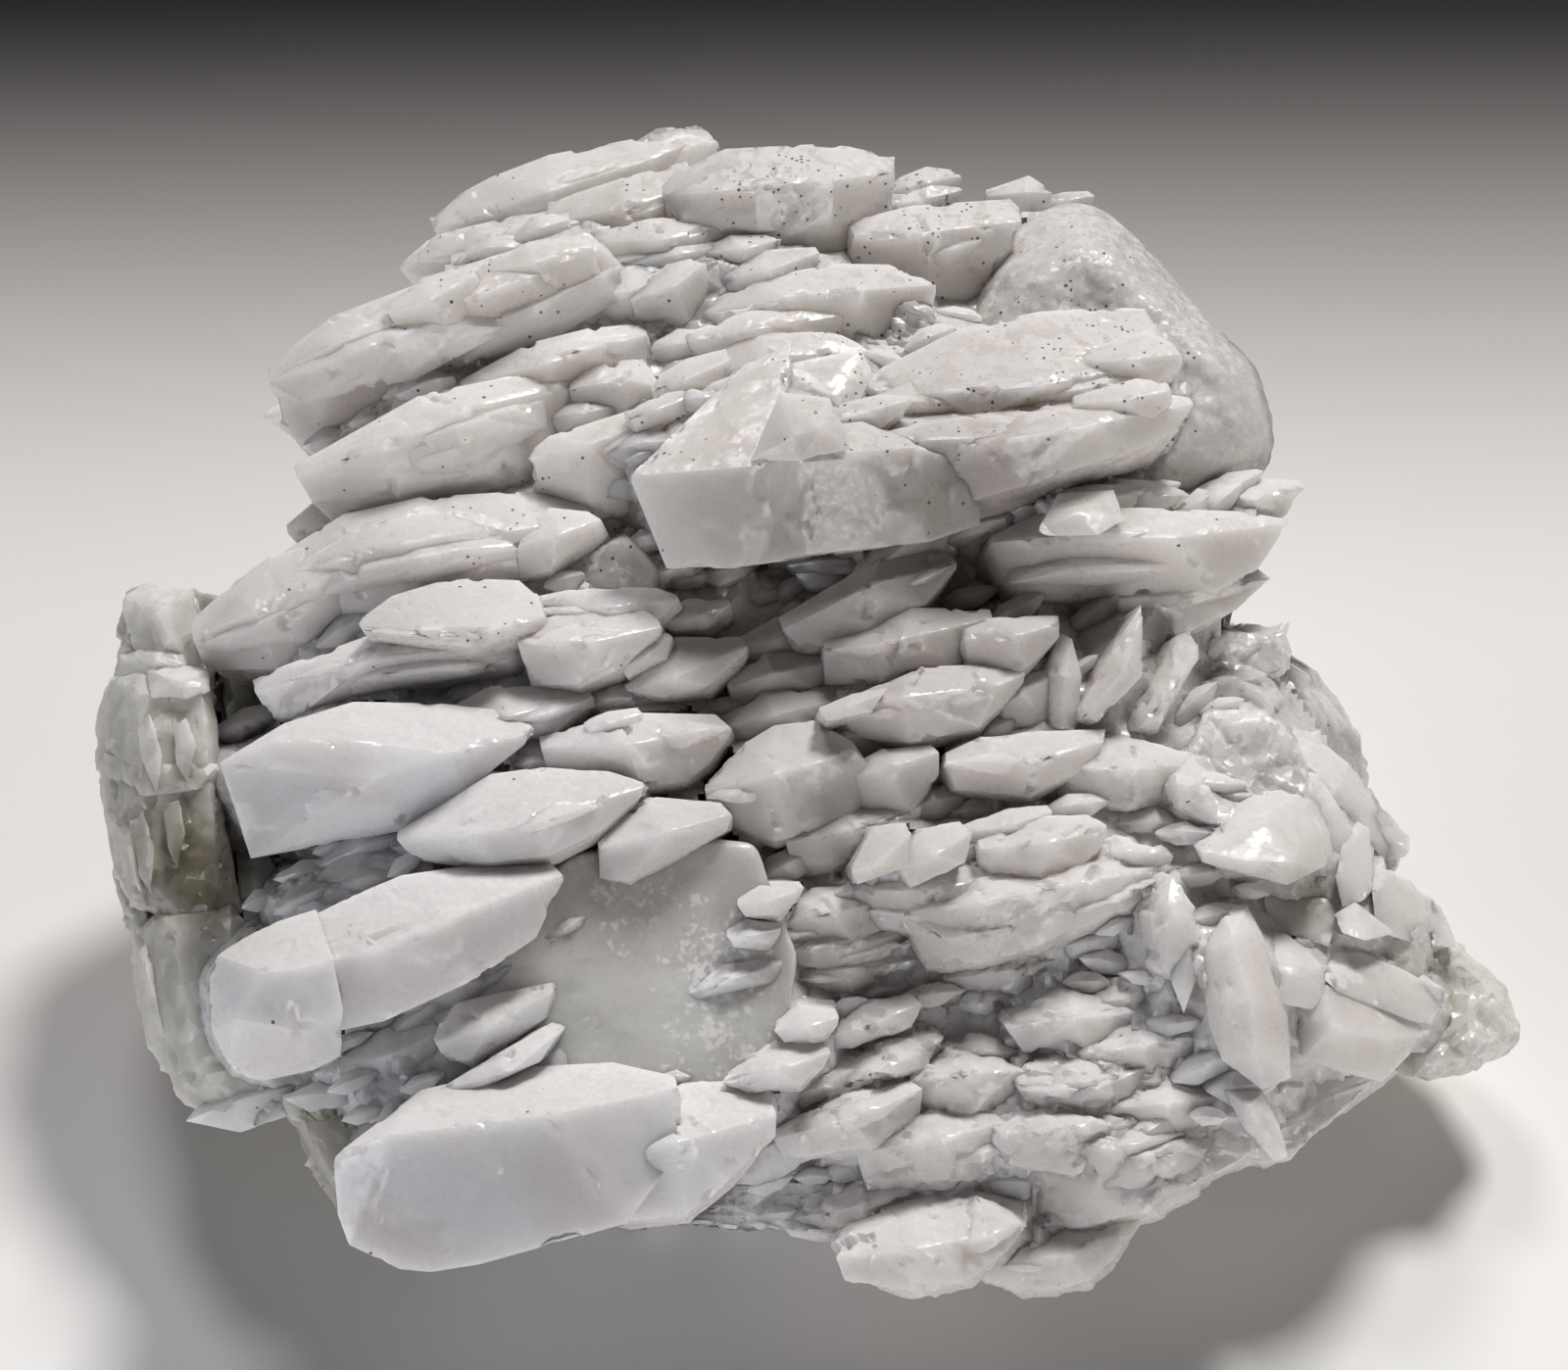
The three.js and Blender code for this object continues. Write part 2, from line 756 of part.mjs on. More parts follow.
    low: [[610, 700], [700, 680]],
    out: 5,
  },
  {
    top: [[560, 700], [620, 690], [700, 700]],
    rim: [[560, 712], [630, 712], [706, 708]],
    low: [[570, 740], [700, 734]],
    out: 6,
  },
  {
    top: [[630, 262], [690, 240], [740, 238]],
    rim: [[630, 272], [690, 260], [744, 250]],
    low: [[640, 300], [740, 280]],
    out: 1,
  },
  {
    top: [[950, 1020], [1000, 1000], [1060, 990]],
    rim: [[950, 1032], [1005, 1020], [1064, 1002]],
    low: [[962, 1060], [1060, 1040]],
    out: 5,
  },
  {
    top: [[960, 1060], [1000, 1052], [1050, 1066]],
    rim: [[958, 1070], [1005, 1072], [1054, 1076]],
    low: [[966, 1094], [1050, 1096]],
    out: 6,
  },
  {
    top: [[850, 1012], [900, 992], [960, 990]],
    rim: [[850, 1022], [900, 1010], [964, 1000]],
    low: [[860, 1046], [960, 1030]],
    out: 5,
  },
  {
    top: [[1130, 830], [1180, 818], [1216, 832]],
    rim: [[1130, 842], [1180, 838], [1220, 846]],
    low: [[1140, 868], [1214, 872]],
    out: 7,
  },
  {
    top: [[1196, 866], [1230, 856], [1262, 880]],
    rim: [[1194, 878], [1228, 880], [1264, 894]],
    low: [[1200, 910], [1260, 916]],
    out: 7,
  },
  {
    top: [[690, 866], [720, 850], [752, 850]],
    rim: [[690, 874], [722, 866], [756, 858]],
    low: [[698, 896], [752, 884]],
    out: 5,
  },
  {
    top: [[396, 1010], [440, 985], [500, 990]],
    rim: [[394, 1022], [440, 1006], [504, 1002]],
    low: [[404, 1052], [500, 1030]],
    out: 10,
  },
  {
    top: [[640, 1090], [690, 1078], [730, 1090]],
    rim: [[640, 1100], [690, 1098], [736, 1102]],
    low: [[650, 1130], [730, 1126]],
    out: 9,
  },
  {
    top: [[1170, 960], [1180, 990], [1176, 1040]],
    rim: [[1180, 962], [1192, 1000], [1188, 1044]],
    low: [[1204, 966], [1216, 1010], [1206, 1050]],
    out: 8,
  },
  {
    top: [[1110, 1170], [1160, 1110], [1230, 1090]],
    rim: [[1120, 1190], [1180, 1150], [1250, 1110]],
    low: [[1150, 1210], [1210, 1190], [1262, 1150]],
    out: 8,
  },
  {
    top: [[696, 1010], [740, 984], [796, 976]],
    rim: [[696, 1016], [745, 1000], [798, 984]],
    low: [[706, 1026], [790, 1002]],
    out: 10,
  },
];

// Blocks of the mass: an outline in the front view, with the levels of its front and back.
const blocks = [
  // The core
  {
    outline: [
      [340, 640], [470, 400], [700, 250], [960, 240], [1160, 330], [1240, 540], [1280, 760], [1300, 960],
      [1240, 1120], [1100, 1200], [900, 1215], [640, 1205], [420, 1150], [320, 960],
    ],
    front: 0, back: -40, widestAt: 0.3,
  },
  {
    outline: [
      [250, 900], [420, 820], [700, 860], [760, 1000], [700, 1180], [480, 1230], [330, 1150],
      [250, 1060],
    ],
    front: 8, back: -20, frontShare: 0.8,
  },
  {
    outline: [
      [780, 900], [1000, 850], [1200, 900], [1230, 1080], [1130, 1200], [960, 1230], [800, 1180],
      [740, 1080],
    ],
    front: 4, back: -30, frontShare: 0.85,
  },
  {
    outline: [[250, 620], [420, 540], [620, 520], [700, 640], [680, 800], [480, 860], [300, 840]],
    front: 4, back: -30, frontShare: 0.8,
  },
  {
    outline: [
      [320, 440], [460, 320], [640, 250], [820, 220], [1000, 300], [1160, 400], [1060, 520], [700, 540],
      [420, 480],
    ],
    front: 0, back: -30, frontShare: 0.8,
  },
  // The plate that shows smooth below the middle, and the corner of another
  {
    outline: [[500, 950], [600, 890], [760, 886], [830, 980], [800, 1110], [660, 1150], [500, 1100]],
    front: 7, back: -20, frontShare: 0.86, widestAt: 0.1,
  },
  { outline: [[560, 606], [590, 560], [640, 536], [680, 580], [680, 610]], front: 4, back: -20 },
  // The frosted dome behind the upper right
  {
    outline: [
      [1000, 250], [1060, 206], [1115, 198], [1160, 235], [1215, 300], [1290, 375], [1307, 440],
      [1303, 485], [1200, 560], [1050, 500], [940, 380],
    ],
    front: 1, back: -34, frontShare: 0.66,
  },
  // The broken, glassy rim of the left
  {
    outline: [
      [107, 700], [125, 605], [145, 595], [200, 600], [225, 660], [225, 740], [180, 780], [100, 770],
    ],
    front: -2, back: -22,
  },
  {
    outline: [
      [97, 785], [98, 760], [110, 740], [222, 720], [245, 800], [250, 900], [215, 990], [140, 1000],
      [118, 890],
    ],
    front: -1, back: -26,
  },
  {
    outline: [
      [133, 960], [230, 900], [262, 980], [285, 1138], [260, 1150], [220, 1148], [180, 1115],
      [147, 1050],
    ],
    front: 0, back: -22,
  },
  {
    outline: [[200, 640], [420, 560], [460, 760], [460, 960], [300, 1000], [225, 940], [220, 760]],
    front: -4, back: -34,
  },
  {
    outline: [[270, 1105], [360, 1100], [440, 1140], [420, 1210], [360, 1260], [310, 1180]],
    front: 6, back: -24,
  },
  // Blocks of the right side
  {
    outline: [[1238, 635], [1300, 642], [1315, 650], [1320, 690], [1290, 700], [1230, 690]],
    front: -6, back: -22, frontShare: 0.85,
  },
  {
    outline: [[1215, 690], [1260, 676], [1314, 710], [1308, 748], [1250, 760], [1190, 740]],
    front: 0, back: -24, frontShare: 0.8,
  },
  {
    outline: [
      [1205, 775], [1225, 726], [1290, 720], [1352, 830], [1356, 862], [1330, 890], [1290, 898],
      [1240, 886], [1220, 865],
    ],
    front: 9, back: -24, frontShare: 0.92, widestAt: 0.1,
  },
  {
    outline: [[1300, 760], [1350, 755], [1400, 812], [1432, 870], [1420, 900], [1340, 930], [1290, 880]],
    front: -6, back: -30, frontShare: 0.8,
  },
  {
    outline: [
      [1215, 1000], [1235, 935], [1265, 918], [1287, 932], [1312, 1030], [1316, 1110], [1306, 1188],
      [1270, 1184], [1236, 1110],
    ],
    front: 12, back: -16, frontShare: 0.7,
  },
  {
    outline: [
      [1300, 960], [1350, 940], [1462, 935], [1472, 1010], [1455, 1068], [1395, 1104], [1330, 1082],
    ],
    front: 3, back: -26, frontShare: 0.84,
  },
  {
    outline: [
      [1440, 965], [1490, 962], [1541, 1008], [1553, 1056], [1544, 1072], [1500, 1100], [1435, 1106],
    ],
    front: -3, back: -24, frontShare: 0.75,
  },
  {
    outline: [
      [1280, 1060], [1400, 1070], [1436, 1090], [1400, 1115], [1345, 1155], [1310, 1190], [1250, 1196],
    ],
    front: 3, back: -20, frontShare: 0.85,
  },
  {
    outline: [[1180, 1060], [1260, 1080], [1290, 1180], [1235, 1210], [1165, 1245], [1120, 1200]],
    front: 6, back: -22, frontShare: 0.85,
  },
  // The underside of the bottom edge
  {
    outline: [[560, 1215], [700, 1190], [900, 1210], [900, 1270], [800, 1258], [640, 1252]],
    front: 2, back: -30, frontShare: 0.85,
  },
];

// Boulders of the mass behind and below, with the place of each in the piece's own axes.
const boulders = [
  { at: [0, 0, 8], radii: [44, 28, 16], rough: 0.08 },
  { at: [-26, -6, 12], radii: [26, 20, 15], turn: 20 },
  { at: [28, -6, 12], radii: [26, 20, 14], turn: -25 },
  { at: [-8, 20, 24], radii: [34, 20, 22], turn: 8 },
  { at: [16, 22, 26], radii: [24, 19, 22], turn: -20 },
  { at: [-27, 10, 15], radii: [18, 18, 16], turn: 35 },
  { at: [6, 34, 14], radii: [28, 12, 15], turn: -6 },
  { at: [34, 8, 11], radii: [18, 16, 12], turn: 15 },
];

const upperSetback = 1.1; // how far back a bevel runs for each millimetre it rises or falls in the front view
const lowerSetback = 0.75;
const bulge = 0.2; // how far the middle of a rim stands out from its ends, as a share of its length
const rootShare = 0.86; // a crystal's root is this much narrower than what shows of it
const rootDrop = 2.5; // and sits this much lower, in millimetres

// The height of a line of points at x.
function lineAt(line, x) {
  const next = line.findIndex(([px]) => px >= x);
  if (next === -1) return line[line.length - 1][1];
  if (next === 0) return line[0][1];
  const [x0, y0] = line[next - 1];
  const [x1, y1] = line[next];
  return y0 + ((y1 - y0) * (x - x0)) / Math.max(x1 - x0, 1e-6);
}

function crystalSolid({ top, rim, low, out }) {
  const all = [...top, ...rim, ...low];
  const xs = all.map(([x]) => x);
  const ys = all.map(([, y]) => y);
  const left = Math.min(...xs);
  const span = Math.max(...xs) - left;
  const height = Math.max(...ys) - Math.min(...ys);
  const length = Math.hypot(span, 0.4 * height) / pointsPerMillimetre;
  const points = [];
  const place = (line, setback) => {
    for (const [x, y] of line) {
      const t = (2 * (x - left)) / span - 1;
      const rise = Math.abs(lineAt(rim, x) - y) / pointsPerMillimetre;
      points.push(onFace([x, y], out - bulge * length * t * t - setback * rise));
    }
  };
  place(top, upperSetback);
  place(rim, 0);
  place(low, lowerSetback);
  const deep = Math.min(rootLevel, out - 0.6 * length);
  const middle = { x: left + span / 2, y: Math.min(...ys) + height / 2 };
  const inward = {
    x: convergence * (massMiddle.x - middle.x),
    y: convergence * (massMiddle.y - middle.y) + rootDrop * pointsPerMillimetre,
  };
  for (const [x, y] of [top[0], top[top.length - 1], low[0], low[low.length - 1]]) {
    const rootX = middle.x + (x - middle.x) * rootShare + inward.x;
    const rootY = middle.y + (y - middle.y) * rootShare + inward.y;
    points.push(onFace([rootX, rootY], deep));
  }
  return solidOf(new ConvexGeometry(points));
}

// A block: an outline in the front view at its widest level, drawn in towards its front and back levels.
const shoulder = 0.62; // its front edge is broken away this share of the way from front to side
function blockSolid({ outline, front, back, frontShare = 0.76, backShare = 0.6, widestAt = 0.35 }, seed) {
  const count = outline.length;
  const middle = {
    x: outline.reduce((sum, [x]) => sum + x, 0) / count,
    y: outline.reduce((sum, [, y]) => sum + y, 0) / count,
  };
  const widest = front + (back - front) * widestAt;
  const points = [];
  outline.forEach(([x, y], i) => {
    const dx = x - middle.x;
    const dy = y - middle.y;
    const inX = middle.x + convergence * (massMiddle.x - middle.x);
    const inY = middle.y + convergence * (massMiddle.y - middle.y);
    const share = frontShare * (1 + 0.08 * wobble(seed, 90 + i));
    points.push(onFace([x, y], widest + 1.5 * wobble(seed, i)));
    points.push(onFace([middle.x + dx * share, middle.y + dy * share], front + 0.8 * wobble(seed, 30 + i)));
    if (frontShare > 0.8) return;
    const wide = share + (1 - share) * shoulder;
    const level = front + (widest - front) * (1 - shoulder);
    points.push(onFace([middle.x + dx * wide, middle.y + dy * wide], level + 0.6 * wobble(seed, 120 + i)));
    points.push(onFace([inX + dx * backShare, inY + dy * backShare], back + 2 * wobble(seed, 60 + i)));
  });
  return solidOf(new ConvexGeometry(points));
}

// A boulder: a rounded, many-faced lump of broken calcite.
function boulderSolid({ at, radii, turn = 0, rough = 0.1 }, seed) {
  const ball = mergeVertices(bare(new THREE.IcosahedronGeometry(1, 1)), 1e-4);
  const place = ball.getAttribute("position");
  const points = [];
  for (let i = 0; i < place.count; i += 1) {
    const point = new THREE.Vector3().fromBufferAttribute(place, i);
    point.multiplyScalar(1 + rough * wobble(seed, i));
    point.multiply(new THREE.Vector3(...radii));
    point.applyAxisAngle(new THREE.Vector3(0, 0, 1), THREE.MathUtils.degToRad(turn));
    points.push(point.add(new THREE.Vector3(...at)));
  }
  return solidOf(new ConvexGeometry(points));
}

const wasm = await Module();
wasm.setup();

function bare(geometry) {
  geometry.deleteAttribute("normal");
  geometry.deleteAttribute("uv");
  return geometry;
}

function solidOf(geometry) {
  const merged = mergeVertices(bare(geometry), 1e-4);
  return new wasm.Manifold(
    new wasm.Mesh({
      numProp: 3,
      vertProperties: new Float32Array(merged.attributes.position.array),
      triVerts: new Uint32Array(merged.index.array),
    }),
  );
}

function geometryOf(solid) {
  const { vertProperties, triVerts } = solid.getMesh();
  const geometry = new THREE.BufferGeometry();
  geometry.setAttribute("position", new THREE.BufferAttribute(vertProperties, 3));
  geometry.setIndex(new THREE.BufferAttribute(triVerts, 1));
  return geometry;
}

const pieces = [
  ...crystals.map(crystalSolid),
  ...blocks.map((block, i) => blockSolid(block, 500 + i)),
  ...boulders.map((boulder, i) => boulderSolid(boulder, 700 + i)),
];
const grown = pieces.reduce((joined, piece) => joined.add(piece));

// The underside is cut off flat at the level the piece rests on.
const ground = new THREE.BoxGeometry(400, 400, 100).translate(0, 0, -50);
const shells = grown.subtract(solidOf(ground)).decompose();
// Pockets closed in on every side are filled: the mass is solid where nothing can be seen or reached.
const cluster = shells.reduce((largest, shell) => (shell.volume() > largest.volume() ? shell : largest));

const calcite = new THREE.MeshStandardMaterial({ color: 0xd9d7d4, roughness: 0.45, metalness: 0 });
const mesh = new THREE.Mesh(geometryOf(cluster), calcite);
mesh.name = "calcite_cluster";

const group = new THREE.Group();
group.add(mesh);
export default group;
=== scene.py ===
# Poker chip calcite: flat, bevelled crystals in rows like spilled chips, on broken calcite.
# Lengths are in millimetres until a piece is put into Blender, which works in metres.
import bpy
import bmesh
import json
import numpy as np
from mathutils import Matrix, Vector

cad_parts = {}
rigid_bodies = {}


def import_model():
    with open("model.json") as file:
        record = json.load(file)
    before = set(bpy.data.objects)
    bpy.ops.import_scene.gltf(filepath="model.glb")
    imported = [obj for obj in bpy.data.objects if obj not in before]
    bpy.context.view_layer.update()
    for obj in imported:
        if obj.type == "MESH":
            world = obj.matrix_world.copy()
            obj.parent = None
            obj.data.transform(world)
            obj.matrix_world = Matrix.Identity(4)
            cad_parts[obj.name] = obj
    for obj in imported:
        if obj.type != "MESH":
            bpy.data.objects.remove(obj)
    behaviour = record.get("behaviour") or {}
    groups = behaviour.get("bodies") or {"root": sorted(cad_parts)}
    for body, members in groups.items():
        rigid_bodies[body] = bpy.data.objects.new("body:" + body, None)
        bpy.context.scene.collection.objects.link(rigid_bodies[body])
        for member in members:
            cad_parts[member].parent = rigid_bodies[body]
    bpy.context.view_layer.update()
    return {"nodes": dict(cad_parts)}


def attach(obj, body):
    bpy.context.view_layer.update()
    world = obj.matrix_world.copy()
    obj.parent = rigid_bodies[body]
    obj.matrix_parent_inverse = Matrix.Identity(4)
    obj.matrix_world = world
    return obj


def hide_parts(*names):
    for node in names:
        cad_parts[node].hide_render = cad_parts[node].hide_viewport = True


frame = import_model()
print("frame loaded:", ", ".join(frame["nodes"]))

# The face that the crystals grow on, and the front view of it that places them.
face = {
    "viewWidth": 1600.0,  # the front view is a drawing this many points wide, y down from its top
    "width": 133.3,  # and this many millimetres
    "middle": (800.0, 699.0),
    "centre": (-1.5, -2.7, 33.0),  # what the middle shows, in space
    "massMiddle": (790.0, 760.0),  # the crystals' roots lean towards it
    "viewRise": 45.0,  # degrees above level that it is seen from
    "eyeDistance": 300.0,
    "recede": 0.25,  # how far the face falls back for each millimetre up the view
    "rootLevel": -12.0,
    "rootShare": 0.86,  # how wide a crystal still is at its roots
    "rootDrop": 2.5,
    "convergence": 0.24,  # how far roots lean towards the mass's middle
    "upperSetback": 1.1,  # how far a top edge lies behind its rim, for each millimetre above it
    "lowerSetback": 0.75,
    "bulge": 0.2,  # how far tips lie behind the middle, for each millimetre of length
    "skirt": 9.0,  # how far a crystal widens below its low edge, in the drawing's points
    "skirtDrop": 2.4,  # and how far that lies behind it
}
perMm = face["viewWidth"] / face["width"]
viewRise = np.radians(face["viewRise"])
towardsEye = np.array([0.0, -np.cos(viewRise), np.sin(viewRise)])
across = np.array([1.0, 0.0, 0.0])
upView = np.cross(towardsEye, across)
faceCentre = np.array(face["centre"])
viewMiddle = np.array(face["middle"])
massMiddle = np.array(face["massMiddle"])


# A point of the drawing at a level out from the face, in space: along the view's two axes, scaled down
# with nearness to the eye, and out towards the eye.
def onFace(drawn, level):
    up = (viewMiddle[1] - drawn[..., 1]) / perMm
    nearness = level - face["recede"] * up
    scale = ((1 - nearness / face["eyeDistance"]) / perMm)[..., None]
    flat = (drawn[..., :1] - viewMiddle[0]) * scale * across + (viewMiddle[1] - drawn[..., 1:]) * scale * upView
    return faceCentre + flat + nearness[..., None] * towardsEye


# The other way round: where the drawing shows a place, and its level.
def ontoDrawing(place):
    fromCentre = place - faceCentre
    nearness = fromCentre @ towardsEye
    scale = (1 - nearness / face["eyeDistance"]) / perMm
    x = viewMiddle[0] + (fromCentre @ across) / scale
    y = viewMiddle[1] - (fromCentre @ upView) / scale
    return x, y, nearness + face["recede"] * (viewMiddle[1] - y) / perMm


# Numbers that turn a corner of a lattice into a number that looks random.
hashNumbers = np.array([[127.1, 269.5, 113.5, 91.7], [311.7, 183.3, 271.9, 57.3], [74.7, 246.1, 124.6, 33.9]])
hashScale = 43758.5453


# A repeatable number from -1 to 1 for a piece and a corner of it.
def wobble(seed, corner):
    turned = np.sin(seed * 12.9898 + corner * 78.233) * hashScale
    return 2 * (turned - np.floor(turned)) - 1


# Smooth noise from -1 to 1: hashed numbers at the corners of a lattice, blended by an S-curve in each cell.
def softNoise(place, size, seed=0.0):
    scaled = place / size + 100.0
    cell = np.floor(scaled)
    within = scaled - cell
    within = within * within * (3 - 2 * within)
    total = np.zeros(place.shape[:-1])
    for corner in range(8):
        step = np.array([corner & 1, corner >> 1 & 1, corner >> 2 & 1], float)
        at = cell + step
        mixed = np.sin(at @ hashNumbers[:, 0].copy() + seed * 19.19) * hashScale
        weight = np.prod(np.where(step > 0, within, 1 - within), axis=-1)
        total += weight * (mixed - np.floor(mixed))
    return 2 * total - 1


# Several sizes of smooth noise added, each half the size and strength of the one before.
def roughNoise(place, size, octaves=3, seed=0.0):
    total = np.zeros(place.shape[:-1])
    for k in range(octaves):
        total += softNoise(place, size / 2**k, seed + 7 * k) / 2**k
    return total / 1.6


# Broken ground: space is split into cells around scattered points, each cell is a plane with a tilt and height of
# its own, and the planes meet in small steps.
def facetNoise(place, size, seed=0.0):
    scaled = place / size + 60.0
    cell = np.floor(scaled)
    nearest = np.full(place.shape[:-1], np.inf)
    value = np.zeros(place.shape[:-1])
    for corner in range(27):
        at = cell + np.array([corner % 3 - 1, corner // 3 % 3 - 1, corner // 9 - 1], float)
        mixed = np.sin(at @ hashNumbers + seed) * hashScale
        mixed = mixed - np.floor(mixed)
        toward = scaled - at - mixed[..., :3]
        gap = (toward * toward).sum(-1)
        plane = (toward * (2 * mixed[..., [1, 2, 3]] - 1)).sum(-1) + 0.5 * (2 * mixed[..., 3] - 1)
        closer = gap < nearest
        nearest = np.where(closer, gap, nearest)
        value = np.where(closer, plane, value)
    return value


# Strengths gathered around spots x, y, reach and strength, each fading out as a bell.
def gathered(x, y, spots):
    return sum(strength * np.exp(-((x - cx) ** 2 + (y - cy) ** 2) / reach**2) for cx, cy, reach, strength in spots)


# The vertices of a mesh, in millimetres.
def vertexPlaces(mesh):
    places = np.empty(len(mesh.vertices) * 3)
    mesh.vertices.foreach_get("co", places)
    return places.reshape(-1, 3) * 1000


# The normals at the vertices of a mesh, each the mean of its faces' normals.
def vertexNormals(mesh):
    normals = np.empty(len(mesh.vertices) * 3)
    mesh.vertex_normals.foreach_get("vector", normals)
    return normals.reshape(-1, 3)


# Values at the vertices, one list for each name, which the materials read.
def keepValues(mesh, values):
    for key, each in values.items():
        layer = mesh.attributes.new(key, "FLOAT", "POINT")
        layer.data.foreach_set("value", each.astype(np.float32))


# An object of a mesh, a light or a camera, at the origin.
def putInScene(name, content):
    thing = bpy.data.objects.new(name, content)
    bpy.context.scene.collection.objects.link(thing)
    return thing


# Faces are shaded smooth, and the edges where they turn by more than an angle stay sharp. Gives the triangles.
def shadeSmooth(mesh, degrees):
    mesh.polygons.foreach_set("use_smooth", np.ones(len(mesh.polygons), bool))
    mesh.set_sharp_from_angle(angle=np.radians(degrees))
    return sum(len(polygon.vertices) - 2 for polygon in mesh.polygons)


# Unit normals of a grid of points that is closed along its columns.
def gridNormals(grid):
    down = np.gradient(grid, axis=0)
    onward = np.roll(grid, -1, 1) - np.roll(grid, 1, 1)
    normal = np.cross(down, onward)
    return normal / np.maximum(np.linalg.norm(normal, axis=-1, keepdims=True), 1e-9)


# A closed mesh from a grid of rings, with the first and last ring closed onto a point.
def meshFromRings(name, grid, first, last, attributes):
    rows, cols = grid.shape[:2]
    index = np.arange(rows * cols).reshape(rows, cols)
    onward = np.roll(index, -1, axis=1)
    quads = np.stack([index[:-1], onward[:-1], onward[1:], index[1:]], -1).reshape(-1, 4)
    firstAt = rows * cols
    lastAt = firstAt + 1
    capA = np.stack([np.full(cols, firstAt), onward[0], index[0]], -1)
    capB = np.stack([np.full(cols, lastAt), index[-1], onward[-1]], -1)
    places = np.concatenate([grid.reshape(-1, 3), first[None], last[None]]) / 1000
    volume = np.einsum("ij,ij->i", places[quads[:, 0]], np.cross(places[quads[:, 1]], places[quads[:, 2]])).sum()
    volume += np.einsum("ij,ij->i", places[quads[:, 0]], np.cross(places[quads[:, 2]], places[quads[:, 3]])).sum()
    corners = [quads.ravel(), capA.ravel(), capB.ravel()]
    if volume < 0:
        corners = [quads[:, ::-1].ravel(), capA[:, ::-1].ravel(), capB[:, ::-1].ravel()]
    mesh = bpy.data.meshes.new(name)
    mesh.vertices.add(len(places))
    mesh.vertices.foreach_set("co", places.ravel())
    loops = np.concatenate(corners)
    sizes = np.concatenate([np.full(len(quads), 4), np.full(2 * cols, 3)])
    mesh.loops.add(len(loops))
    mesh.loops.foreach_set("vertex_index", loops.astype(np.int32))
    mesh.polygons.add(len(sizes))
    mesh.polygons.foreach_set("loop_start", (np.cumsum(sizes) - sizes).astype(np.int32))
    mesh.update(calc_edges=True)
    for key, values in attributes.items():
        ends = [values[0].mean(), values[-1].mean()]
        keepValues(mesh, {key: np.concatenate([values.ravel(), ends])})
    return mesh


# Where crystals are broken and sugary rather than whole: x, y, reach and strength on the drawing.
brokenAreas = [
    (1010, 1150, 190, 1.0),
    (1320, 950, 190, 1.0),
    (880, 1000, 120, 0.6),
    (1250, 760, 110, 0.9),
    (1100, 1000, 120, 0.5),
]

# Growth layers, in millimetres.
layerLook = {
    "rise": 0.13,  # how far a layer stands out of the crystal that it lies on
    "every": 12.0,  # one layer for each such length of a crystal, and two at most
    "shallow": 3.0,  # how deep it reaches in
}


# Growth layers on a crystal: shorter crystals with the same heading that stand out of its face by a little. Each
# takes a stretch of the crystal's lines, narrowed to a point at both ends.
def growthLayers(crystal, seed):
    lines = [np.array(crystal[key], float).reshape(-1, 2) for key in ("top", "rim", "low")]
    heading = lines[1][-1] - lines[1][0]
    length = np.linalg.norm(heading) / perMm
    heading /= np.linalg.norm(heading)
    layers = []
    for k in range(int(np.clip(length / layerLook["every"], 0, 2))):
        share = 0.62 + 0.25 * wobble(seed, 200 + k)
        centre = np.clip(0.5 + 0.48 * wobble(seed, 210 + k), 0.5 * share, 1 - 0.5 * share)
        stretch = np.linspace(centre - share / 2, centre + share / 2, 7)
        sampled = []
        for line in lines:
            along = (line - lines[1][0]) @ heading
            order = np.argsort(along)
            at = along.min() + stretch * (along.max() - along.min())
            sampled.append(np.stack([np.interp(at, along[order], line[order, j]) for j in range(2)], -1))
        top, rim, low = sampled
        taper = (1 - np.abs(np.linspace(-1, 1, 7)) ** 1.7)[:, None] * 0.85 + 0.04
        drop = 0.22 - 0.42 * wobble(seed, 220 + k)
        middleShare = 2 * centre - 1
        level = crystal["out"] - face["bulge"] * length * middleShare**2
        if drop > 0:
            level = level - face["lowerSetback"] * drop * np.linalg.norm(low - rim, axis=1).mean() / perMm
            rim = rim + drop * (low - rim)
        else:
            level = level + face["upperSetback"] * drop * np.linalg.norm(top - rim, axis=1).mean() / perMm
            rim = rim - drop * (top - rim)
        layers.append(
            {
                "top": rim + (top - rim) * taper * (0.5 + 0.3 * wobble(seed, 230 + k)),
                "rim": rim,
                "low": rim + (low - rim) * taper * (0.3 + 0.2 * wobble(seed, 240 + k)),
                "out": level + layerLook["rise"] * (1.3 + 0.9 * wobble(seed, 250 + k)),
                "shallow": layerLook["shallow"],
            }
        )
    return layers


# A block of the mass. Its outline in the front view is carried from front to back: drawn in at the front, past a
# broken shoulder to its widest, and drawn in and shifted towards the mass at the back.
blockLook = {
    "outlineStep": 0.55,  # millimetres between points along the outline
    "frontStep": 0.55,  # and from the front to where it is widest
    "backStep": 2.0,
    "frontShare": 0.76,  # how wide the front is, as a share of the outline
    "backShare": 0.6,
    "widestAt": 0.35,  # how far back it is widest, as a share of its depth
    "shoulder": 0.62,  # how far the shoulder has come towards the widest
}


